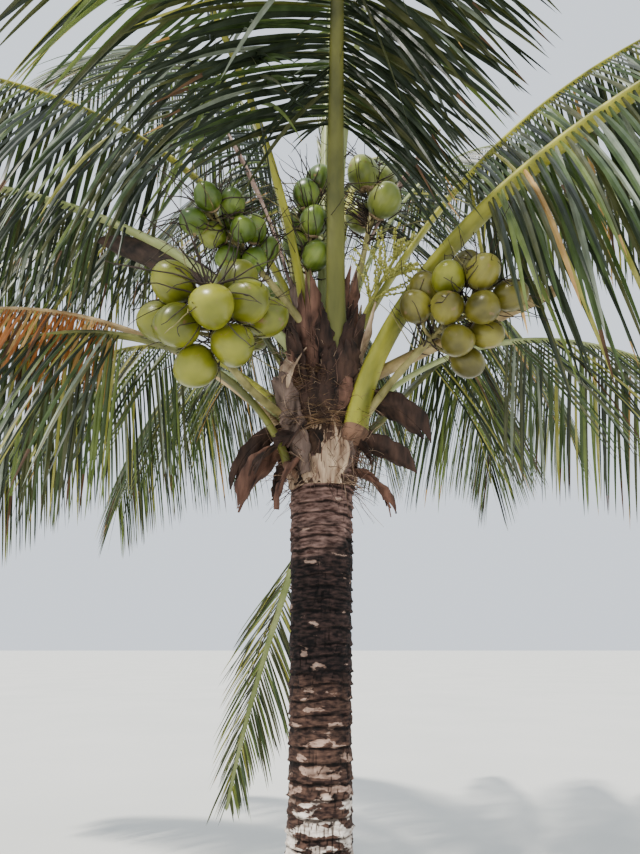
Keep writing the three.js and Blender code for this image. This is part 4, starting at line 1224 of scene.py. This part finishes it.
# %% Grow the flower spray
FLOWER_SPRAY = dict(foot=-33, base=2.860, heading=-50, rise=56, fall=38, length=0.560, branches=9,
                    reach=0.300)
FLOWER_FINISHES = [fibre_finish(*row) for row in [
    ("flower_branch", (0.13, 0.14, 0.020), (0.36, 0.35, 0.07), 0.6, 20, (1, 1, 1), 0.002, 0.5),
    ("flower_bud", (0.20, 0.21, 0.030), (0.50, 0.48, 0.13), 0.5, 40, (1, 1, 1), 0.001, 0.4),
]]
BRANCH_COPIES = 3
BUDS = 26
FIRST_BUD = 0.16
BUD_RADIUS = 0.0062
BUD_STANDS_OFF = 0.0065
SPRAY_RINGS = 20
BRANCHES_OVER = (0.45, 0.95)
BRANCH_CHANCE = 0.16


def ball(centre, radius, sides=6, rows=5):
    """A small ball of a few faces."""
    turn, fall = np.meshgrid(round_turns(sides), np.linspace(0.01, np.pi - 0.01, rows))
    out = np.stack([np.sin(fall) * np.cos(turn), np.sin(fall) * np.sin(turn), -np.cos(fall)], axis=-1)
    return centre + radius * out


spray = Gather("flower_branches", FLOWER_FINISHES)
chance = np.random.default_rng(404)
spray_path = stem_path(FLOWER_SPRAY)
spray_shares = np.linspace(-0.05, 1, SPRAY_RINGS)
spray_line = [point_at(FLOWER_SPRAY, spray_path, share) for share in spray_shares]
spray.grid(closed_tube(spray_line, np.linspace(0.015, 0.006, SPRAY_RINGS), 10), 0, closed=True)
for index in range(FLOWER_SPRAY["branches"]):
    part = (index + 0.5) / FLOWER_SPRAY["branches"]
    share = np.interp(part, (0, 1), BRANCHES_OVER)
    along, right, upper = frame_at(FLOWER_SPRAY, share)
    turn = 2 * math.pi * index * GOLDEN_SHARE
    direction = along * 0.8 + 0.6 * (right * math.cos(turn) + upper * math.sin(turn))
    start = point_at(FLOWER_SPRAY, spray_path, share)
    for _ in range(BRANCH_COPIES):
        sideways = direction + chance.normal(0, BRANCH_CHANCE, 3)
        points = np.array(dead_thread(start, sideways, FLOWER_SPRAY["reach"] * (1 - 0.4 * part), chance))
        spray.grid(closed_tube(points, np.linspace(0.0042, 0.002, len(points)), 6), 0, closed=True)
        for bud in range(BUDS):
            place = FIRST_BUD + (1 - FIRST_BUD) * (bud + 0.5) / BUDS
            middle = read_line(points, place)
            off = chance.normal(0, 1, 3)
            off *= BUD_STANDS_OFF / np.linalg.norm(off)
            spray.grid(ball(middle + off, BUD_RADIUS * chance.uniform(0.7, 1.15)), 1, closed=True)
spray.build(["flower_spray"])

# %% [markdown]
# ## Strips: spathes, a cut stalk and torn leaf bases
# A spathe is the woody boat that covered the flowers. The torn bases are what is left of old fronds. All
# follow the rule of a stem, with a width that changes along them and a hollow upper face. A flat ribbon
# would look like paper, so each is a closed skin with a real thickness, ribbed lengthwise. The last list
# of each row gives the width at shares of the length.

# %% Strips: the rows
STRIP_KEYS = ("name", "foot", "base", "heading", "rise", "fall", "length",
              "cup", "thick", "finish", "mark", "widths")
STRIP_ROWS = [
    ("cut_stalk", -4, 2.710, -18, 22, 18, 1.070, 0.16, 0.030, "stalk", 2,
     [(-0.06, 0.080), (0.1, 0.078), (0.5, 0.074), (0.97, 0.078), (1, 0.058)]),
    ("spathe_left", 204, 2.960, 187, 42, 9, 1.180, 0.3, 0.009, "spathe", 0,
     [(-0.05, 0.034), (0.4, 0.036), (0.5, 0.108), (0.72, 0.150), (0.9, 0.100), (1, 0.014)]),
    ("spathe_upper_right", 28, 3.075, 4, 76, 54, 1.480, 0.3, 0.008, "spathe", 1,
     [(-0.04, 0.026), (0.55, 0.024), (0.66, 0.062), (0.85, 0.054), (1, 0.009)]),
    ("spathe_upper_left", 157, 3.030, 174, 80, 62, 1.500, 0.3, 0.008, "spathe", 1,
     [(-0.04, 0.026), (0.55, 0.024), (0.66, 0.058), (0.85, 0.050), (1, 0.009)]),
    ("leaf_base_front_left", 233, 2.290, 206, 80, 68, 0.450, 0.18, 0.013, "base", 3,
     [(-0.1, 0.124), (0.1, 0.130), (0.3, 0.134), (0.7, 0.118), (1, 0.096)]),
    ("leaf_base_front", -86, 2.230, -88, 86, 82, 0.300, 0.1, 0.012, "base", 4,
     [(-0.1, 0.150), (0.4, 0.160), (0.8, 0.110), (1, 0.060)]),
    ("leaf_base_left", 190, 2.400, 204, -24, -89, 0.470, 0.16, 0.011, "base", 5,
     [(-0.1, 0.090), (0.1, 0.110), (0.3, 0.128), (0.7, 0.108), (1, 0.034)]),
    ("leaf_base_right", -9, 2.640, -14, 4, -74, 0.470, 0.14, 0.012, "base", 6,
     [(-0.1, 0.056), (0.1, 0.096), (0.3, 0.140), (0.7, 0.124), (1, 0.024)]),
    ("leaf_base_right_low", -4, 2.430, -6, 0, -58, 0.340, 0.14, 0.011, "base", 6,
     [(-0.1, 0.090), (0.1, 0.104), (0.3, 0.118), (0.7, 0.096), (1, 0.020)]),
    ("leaf_base_middle", -107, 2.600, -107, 88, 86, 0.420, 0.12, 0.012, "base", 5,
     [(-0.1, 0.066), (0.4, 0.070), (0.8, 0.060), (1, 0.040)]),
]
STRIP_WAYS = {
    "spathe_left": dict(roll=-40),
    "leaf_base_front_left": dict(stand=0.002, roll=-32, pieces=2, torn_from=0.94),
    "leaf_base_front": dict(stand=-0.006, pieces=7, torn_from=0.45),
    "leaf_base_left": dict(roll=-60, pieces=2, torn_from=0.7),
    "leaf_base_right": dict(roll=62, pieces=2, torn_from=0.8),
    "leaf_base_right_low": dict(roll=55, pieces=1, torn_from=0.75),
    "leaf_base_middle": dict(stand=-0.006),
}
STRIPS = rows_of(STRIP_KEYS, STRIP_ROWS, STRIP_WAYS)
print(len(STRIPS), "strips that the frame has too")

# %% [markdown]
# A torn base is a crumpled sheet. Its pieces lie edge to edge first; past the place that it is torn from
# they part, taper and end at different lengths. All pieces of one sheet share the same folds, so that they
# still look like one sheet. A cloth simulation could crumple it, but waves along and across cost far less.

# %% Make the strips
STRIP_FINISHES = [fibre_finish(*row) for row in [
    ("spathe_wood", (0.008, 0.005, 0.004), (0.075, 0.044, 0.032), 0.7, 16, (1, 1, 1), 0.003, 0.7),
    ("spathe_rosy", (0.15, 0.09, 0.075), (0.42, 0.29, 0.24), 0.7, 16, (1, 1, 1), 0.003, 0.6),
    ("cut_stalk_tan", (0.17, 0.11, 0.040), (0.50, 0.38, 0.17), 0.6, 12, (1, 1, 1), 0.003, 0.5),
    ("base_grey_brown", (0.035, 0.020, 0.015), (0.26, 0.18, 0.145), 0.85, 26, (1, 1, 0.22), 0.006, 1.0),
    # The pale and the dark base finishes are partly the old bases' own colours and partly painted light: the
    # pale tan stands for sunlit bases, the near black for shaded ones.
    ("base_pale", (0.20, 0.115, 0.07), (0.74, 0.55, 0.38), 0.85, 26, (1, 1, 0.22), 0.006, 1.0),
    ("base_rust", (0.024, 0.009, 0.006), (0.20, 0.098, 0.066), 0.85, 26, (1, 1, 0.22), 0.006, 1.0),
    ("base_dark", (0.006, 0.003, 0.002), (0.070, 0.036, 0.025), 0.88, 26, (1, 1, 0.22), 0.006, 1.0),
]]
ROLLED_BY = 0.3
OWN_SHADE = 0.9
RAGGED_EDGE = 0.05
TORN_TAPER = 0.85
CRUMPLE_HEIGHT = 0.085
PARTED_HEIGHT = 0.2
FINE_RIBS = 0.0016
STRIP_RINGS = 32


def rolled_frame(strip, share):
    """The frame of a strip, turned about its length by its roll, which sets in past the foot."""
    along, right, upper = frame_at(strip, share)
    roll = math.radians(strip.get("roll", 0)) * min(1, max(share, 0) / ROLLED_BY)
    rolled_right = right * math.cos(roll) + upper * math.sin(roll)
    rolled_upper = upper * math.cos(roll) - right * math.sin(roll)
    return along, rolled_right, rolled_upper


def strip_skin(strip, path, low, high, end, torn_from, folds, crumple):
    """A closed skin over part of a strip's width, which tapers to its end past the place it is torn from."""
    columns = np.linspace(low, high, 3 + round(7 * (high - low)))
    rings = []
    for share in np.linspace(strip["widths"][0][0], end, STRIP_RINGS):
        _, right, upper = rolled_frame(strip, share)
        width = read(strip["widths"], share)
        torn = max(0, share - torn_from) / max(end - torn_from, 0.01)
        middle_column = (low + high) / 2
        edge = RAGGED_EDGE * (np.sin(23 * share + folds[0]) + np.sin(41 * share + folds[1])) * crumple
        across = middle_column + (columns - middle_column) * (1 - TORN_TAPER * torn ** 1.6)
        across = (across + edge * columns ** 3) * width / 2
        cup = strip["cup"] * width * (1 - (2 * across / width) ** 2)
        long_wave = np.sin(5 * share + 2.2 * columns + folds[2])
        waves = long_wave + 0.5 * np.sin(11 * share - 3.4 * columns + folds[3])
        lifted = crumple * CRUMPLE_HEIGHT * width * waves * min(1, max(share, 0) * 3)
        lifted = lifted + crumple * middle_column * PARTED_HEIGHT * width * torn
        fine_ribs = FINE_RIBS * np.sin(24 * columns + folds[1])
        thick = min(strip["thick"], width * 0.7) * (1 - 0.6 * max(torn, crumple * 0.6))
        middle = point_at(strip, path, share)
        top = middle + np.outer(across, right) + np.outer(thick - cup + fine_ribs + lifted, upper)
        bottom = middle + np.outer(across, right) + np.outer(-cup + lifted, upper)
        rings.append(np.concatenate([top, bottom[::-1]]))
    return drawn_shut(np.array(rings))


def add_torn(gather, strip, chance):
    """One crumpled sheet, torn towards its end into pieces of different lengths."""
    path = stem_path(strip)
    pieces = strip.get("pieces", 3)
    tears = np.linspace(-1, 1, pieces + 1)
    tears[1:-1] += chance.uniform(-0.5, 0.5, pieces - 1) / pieces
    folds = chance.uniform(0, 6, 4)
    torn_from = strip.get("torn_from", chance.uniform(0.5, 0.75))
    for low, high in zip(tears[:-1], tears[1:]):
        end = chance.uniform(torn_from + 0.6 * (1 - torn_from), 1.0) if pieces > 1 else 1.0
        shade = strip["mark"] if chance.uniform() < OWN_SHADE else int(chance.integers(3, 7))
        gather.grid(strip_skin(strip, path, low, high, end, torn_from, folds, 1), shade, closed=True)


strips = Gather("old_leaf_bases", STRIP_FINISHES)
spathes = Gather("spathes", STRIP_FINISHES)
cut = Gather("cut_frond_stalk", STRIP_FINISHES)
chance = np.random.default_rng(505)
for strip in STRIPS:
    if strip["finish"] == "base":
        add_torn(strips, strip, chance)
        continue
    skin = strip_skin(strip, stem_path(strip), -1, 1, 1.0, 1.0, chance.uniform(0, 6, 4), 0)
    (spathes if strip["finish"] == "spathe" else cut).grid(skin, strip["mark"], closed=True)

# %% [markdown]
# The measured part has only the largest torn bases. A real head is ragged all round, so more are added
# here by the same rule. Some are placed where the picture shows them, and two of those wrap the foot of the
# tallest frond. The others are dealt round the head by the golden share. Some of them hang, but none in
# front, where the pale bases show. The rest still stand up between the stalks and fill the crown's middle.

# %% Add more torn bases
HANGING_FLAPS = 16
HANGING_LIMITS = ((2.26, 2.60), (-50, 0), (-89, -75), (0.14, 0.34), (0.08, 0.16))
KEPT_OPEN = (236, 318)
STANDING_FLAPS = 22
STANDING_LIMITS = ((2.50, 2.96), (80, 88), (66, 84), (0.22, 0.46), (0.10, 0.18))


def flap(foot, base, heading, rise, fall, length, width, roll=0, mark=3, stand=0.004, pieces=3):
    """A row for one torn base, in the same form as the rows above."""
    widths = [(-0.1, 0.4 * width), (0.1, 0.85 * width), (0.3, width), (0.7, 0.85 * width), (1, 0.5 * width)]
    return dict(foot=foot, base=base, heading=heading, rise=rise, fall=fall, length=length, roll=roll,
                mark=mark, stand=stand, pieces=pieces, cup=0.15, thick=0.009, finish="base", widths=widths)


def dealt_flap(index, hanging, chance):
    """A torn base at its own place round the head, which hangs or stands."""
    foot = 360 * (index * GOLDEN_SHARE % 1)
    heading = foot + chance.uniform(-22, 22)
    # Most dealt bases draw base_dark, whose near black is partly painted shade in the crown's middle.
    mark = int(chance.choice([3, 4, 5, 6], p=[0.12, 0.03, 0.27, 0.58]))
    roll = chance.uniform(-35, 35)
    base, *shape = [chance.uniform(*limits) for limits in (HANGING_LIMITS if hanging else STANDING_LIMITS)]
    return flap(foot, base, heading, *shape, roll, mark)


SHOWN_FLAPS = [
    flap(-66, 2.700, -90, 88, 86, 0.200, 0.200, stand=0.066, mark=6, pieces=5),
    flap(-70, 2.560, -90, 89, 86, 0.180, 0.180, stand=0.030, mark=5, pieces=5),
    flap(-46, 2.600, -46, 86, 56, 0.520, 0.170, roll=10, mark=6),
    flap(-48, 2.860, -58, 84, 66, 0.460, 0.170, roll=20, mark=5),
    flap(-112, 2.820, -112, 88, 72, 0.460, 0.160, roll=-10, mark=5),
    flap(-132, 2.890, -128, -30, -89, 0.310, 0.090, mark=4, pieces=2),
    flap(-156, 2.860, -150, -35, -89, 0.230, 0.080, mark=4, pieces=1),
    flap(-84, 2.500, -84, 88, 84, 0.300, 0.240, mark=6),
    flap(-60, 2.270, -62, 86, 80, 0.200, 0.150, mark=4, pieces=5),
    flap(226, 2.330, 222, -40, -89, 0.330, 0.120, roll=-40, mark=5, pieces=2),
    flap(182, 2.520, 186, -20, -89, 0.480, 0.090, roll=-60, mark=6, pieces=2),
]
hanging = [dealt_flap(index, True, chance) for index in range(HANGING_FLAPS)]
standing = [dealt_flap(index, False, chance) for index in range(STANDING_FLAPS)]
flaps = SHOWN_FLAPS + [row for row in hanging if not KEPT_OPEN[0] < row["foot"] < KEPT_OPEN[1]] + standing
for row in flaps:
    add_torn(strips, row, chance)
print(len(flaps), "more torn bases round the head")
strips.build([strip["name"] for strip in STRIPS if strip["finish"] == "base"])
spathes.build([strip["name"] for strip in STRIPS if strip["finish"] == "spathe"])
cut.build(["cut_stalk"])

# %% [markdown]
# ## The fibrous head
# Where the fronds leave the trunk, their sheaths wrap it in a brown net of crossed fibres. Under them is
# the head itself. Over it each frond but the closed one gets a sheath: a sheet that hugs the head on both
# sides of the stalk's foot, highest beside the stalk and torn along its edge.

# %% Wrap the head
HEAD_LOW = 2.20
HEAD_FINISHES = [fibre_finish(*row) for row in [
    ("head_fibre", (0.006, 0.003, 0.002), (0.080, 0.042, 0.025), 0.92, 22, (1, 1, 0.5), 0.008, 1.0),
    ("sheath_brown", (0.014, 0.006, 0.004), (0.150, 0.080, 0.050), 0.9, 24, (1, 1, 0.3), 0.006, 1.0),
    ("sheath_rosy", (0.035, 0.014, 0.010), (0.28, 0.155, 0.115), 0.88, 24, (1, 1, 0.3), 0.006, 1.0),
    ("sheath_pale", (0.13, 0.075, 0.045), (0.56, 0.40, 0.27), 0.88, 24, (1, 1, 0.3), 0.006, 1.0),
    ("fibre_gold_painted_highlight", (0.070, 0.036, 0.016), (0.40, 0.24, 0.115), 0.8, 24, (1, 1, 0.3), 0.006, 1.0),
]]
SHEATH_MARKS = {"front_high": 1, "right_big": 1, "left_mid": 0}
HEAD_ROWS = 170
HEAD_COLUMNS = 150
SHEATH_HALF_TURN = 52
SHEATH_BELOW = 0.17
SHEATH_ABOVE = 0.24
SHEATH_ROWS = 22
SHEATH_COLUMNS = 34
SHEATH_THICK = 0.005
WEAVE_SLANT = 3

turns, heights = np.meshgrid(round_turns(HEAD_COLUMNS), np.linspace(HEAD_LOW, TRUNK_TOP, HEAD_ROWS))
crossed = sum(wrapped_noise(turns + way * WEAVE_SLANT * heights, heights, 70, 0.02, seed)
              for way, seed in ((1, 21), (-1, 22)))
rolls = wrapped_noise(turns, heights, 11, 0.12, 23)
head_stand = 0.004 + 0.004 * crossed + 0.010 * rolls
head = Gather("head_fibre", HEAD_FINISHES)
head.grid(round_trunk(turns, heights, head_stand), 0, closed=True)
top_ring = round_trunk(turns[-1:], heights[-1:], head_stand[-1:])
top_middle = np.array([LEAN, 0, TRUNK_TOP + 0.02])
head.grid(np.concatenate([top_ring, top_ring * 0.02 + top_middle * 0.98]), 0, closed=True)


def sheath(frond, chance):
    """A torn sheet round the head at a frond's foot, with an outer and an inner skin."""
    side = np.linspace(-1, 1, SHEATH_COLUMNS)
    share = np.linspace(0, 1, SHEATH_ROWS)[:, None]
    ragged = 0.03 * wrapped_noise(side * 3, np.full(len(side), 1.0), 40, 0.5, int(chance.integers(1000)))
    top = SHEATH_ABOVE * (1 - np.abs(side) ** 1.4) * chance.uniform(0.55, 1.0) + ragged
    low = -SHEATH_BELOW * (1 - 0.5 * side ** 2) * chance.uniform(0.6, 1.0)
    height = np.minimum(frond["base"] + low + (top - low) * share, TRUNK_TOP - 0.01)
    turn = math.radians(frond["foot"]) + np.radians(SHEATH_HALF_TURN) * side * (1 - 0.15 * share)
    weave = 0.004 * wrapped_noise(turn + height * WEAVE_SLANT, height, 80, 0.02, 31)
    stand = 0.010 + 0.020 * share ** 2 * chance.uniform(0.4, 1.6) + 0.006 * chance.uniform() + weave
    outer = round_trunk(turn, height, stand)
    inner = round_trunk(turn, height, stand - SHEATH_THICK)
    return np.concatenate([outer, inner[:, ::-1]], axis=1)


chance = np.random.default_rng(606)
for frond in FRONDS:
    if not frond.get("spear"):
        skin = sheath(frond, chance)
        dealt = int(chance.choice([1, 2, 3], p=[0.66, 0.24, 0.10]))
        head.grid(skin, SHEATH_MARKS.get(frond["name"], dealt), closed=True)
head.build()

# %% [markdown]
# Loose fibres stand out from the sheaths all round, and finer hairs lie round the front of the head. A
# curve object for each would be heavy to export, so they are thin tubes in one mesh, a few rings each.

# %% Hang the loose fibres
FIBRES = 850
FIBRE_HEIGHTS = (2.18, 2.98)
FIBRE_LENGTHS = (0.05, 0.22)
FIBRE_RADII = (0.0019, 0.0006)
HAIRS = 650
HAIRY_HEIGHTS = (2.46, 2.76)
HAIRY_BEARING = (-100, 26)
HAIR_LENGTHS = (0.05, 0.16)
HAIR_RADII = (0.0013, 0.0005)
HAIR_SHARES = (0.35, 0.25, 0.4)

fibres = Gather("loose_fibres", HEAD_FINISHES)
chance = np.random.default_rng(707)
for _ in range(FIBRES):
    height = chance.uniform(*FIBRE_HEIGHTS)
    turn = chance.uniform(0, 2 * np.pi)
    start = round_trunk(np.array(turn), np.array(height), 0.006)
    out = np.array([math.cos(turn), math.sin(turn), chance.uniform(-1.6, 0.9)])
    points = dead_thread(start, out, chance.uniform(*FIBRE_LENGTHS), chance)
    radii = np.linspace(*FIBRE_RADII, len(points))
    fibres.grid(closed_tube(points, radii, 4), int(chance.integers(0, 4)), closed=True)
for _ in range(HAIRS):
    height = chance.uniform(*HAIRY_HEIGHTS)
    turn = math.radians(chance.normal(*HAIRY_BEARING))
    start = round_trunk(np.array(turn), np.array(height), chance.uniform(0.010, 0.030))
    sideways = chance.choice([-1, 1]) * np.array([-math.sin(turn), math.cos(turn), 0])
    out = np.array([math.cos(turn), math.sin(turn), chance.uniform(-0.5, 0.2)])
    points = dead_thread(start, sideways + 0.3 * out, chance.uniform(*HAIR_LENGTHS), chance)
    radii = np.linspace(*HAIR_RADII, len(points))
    # The gold hairs are partly the fibre's own colour and partly painted highlight, where sunlight catches
    # the front of the head.
    fibres.grid(closed_tube(points, radii, 4), int(chance.choice([0, 1, 4], p=HAIR_SHARES)), closed=True)
fibres.build()
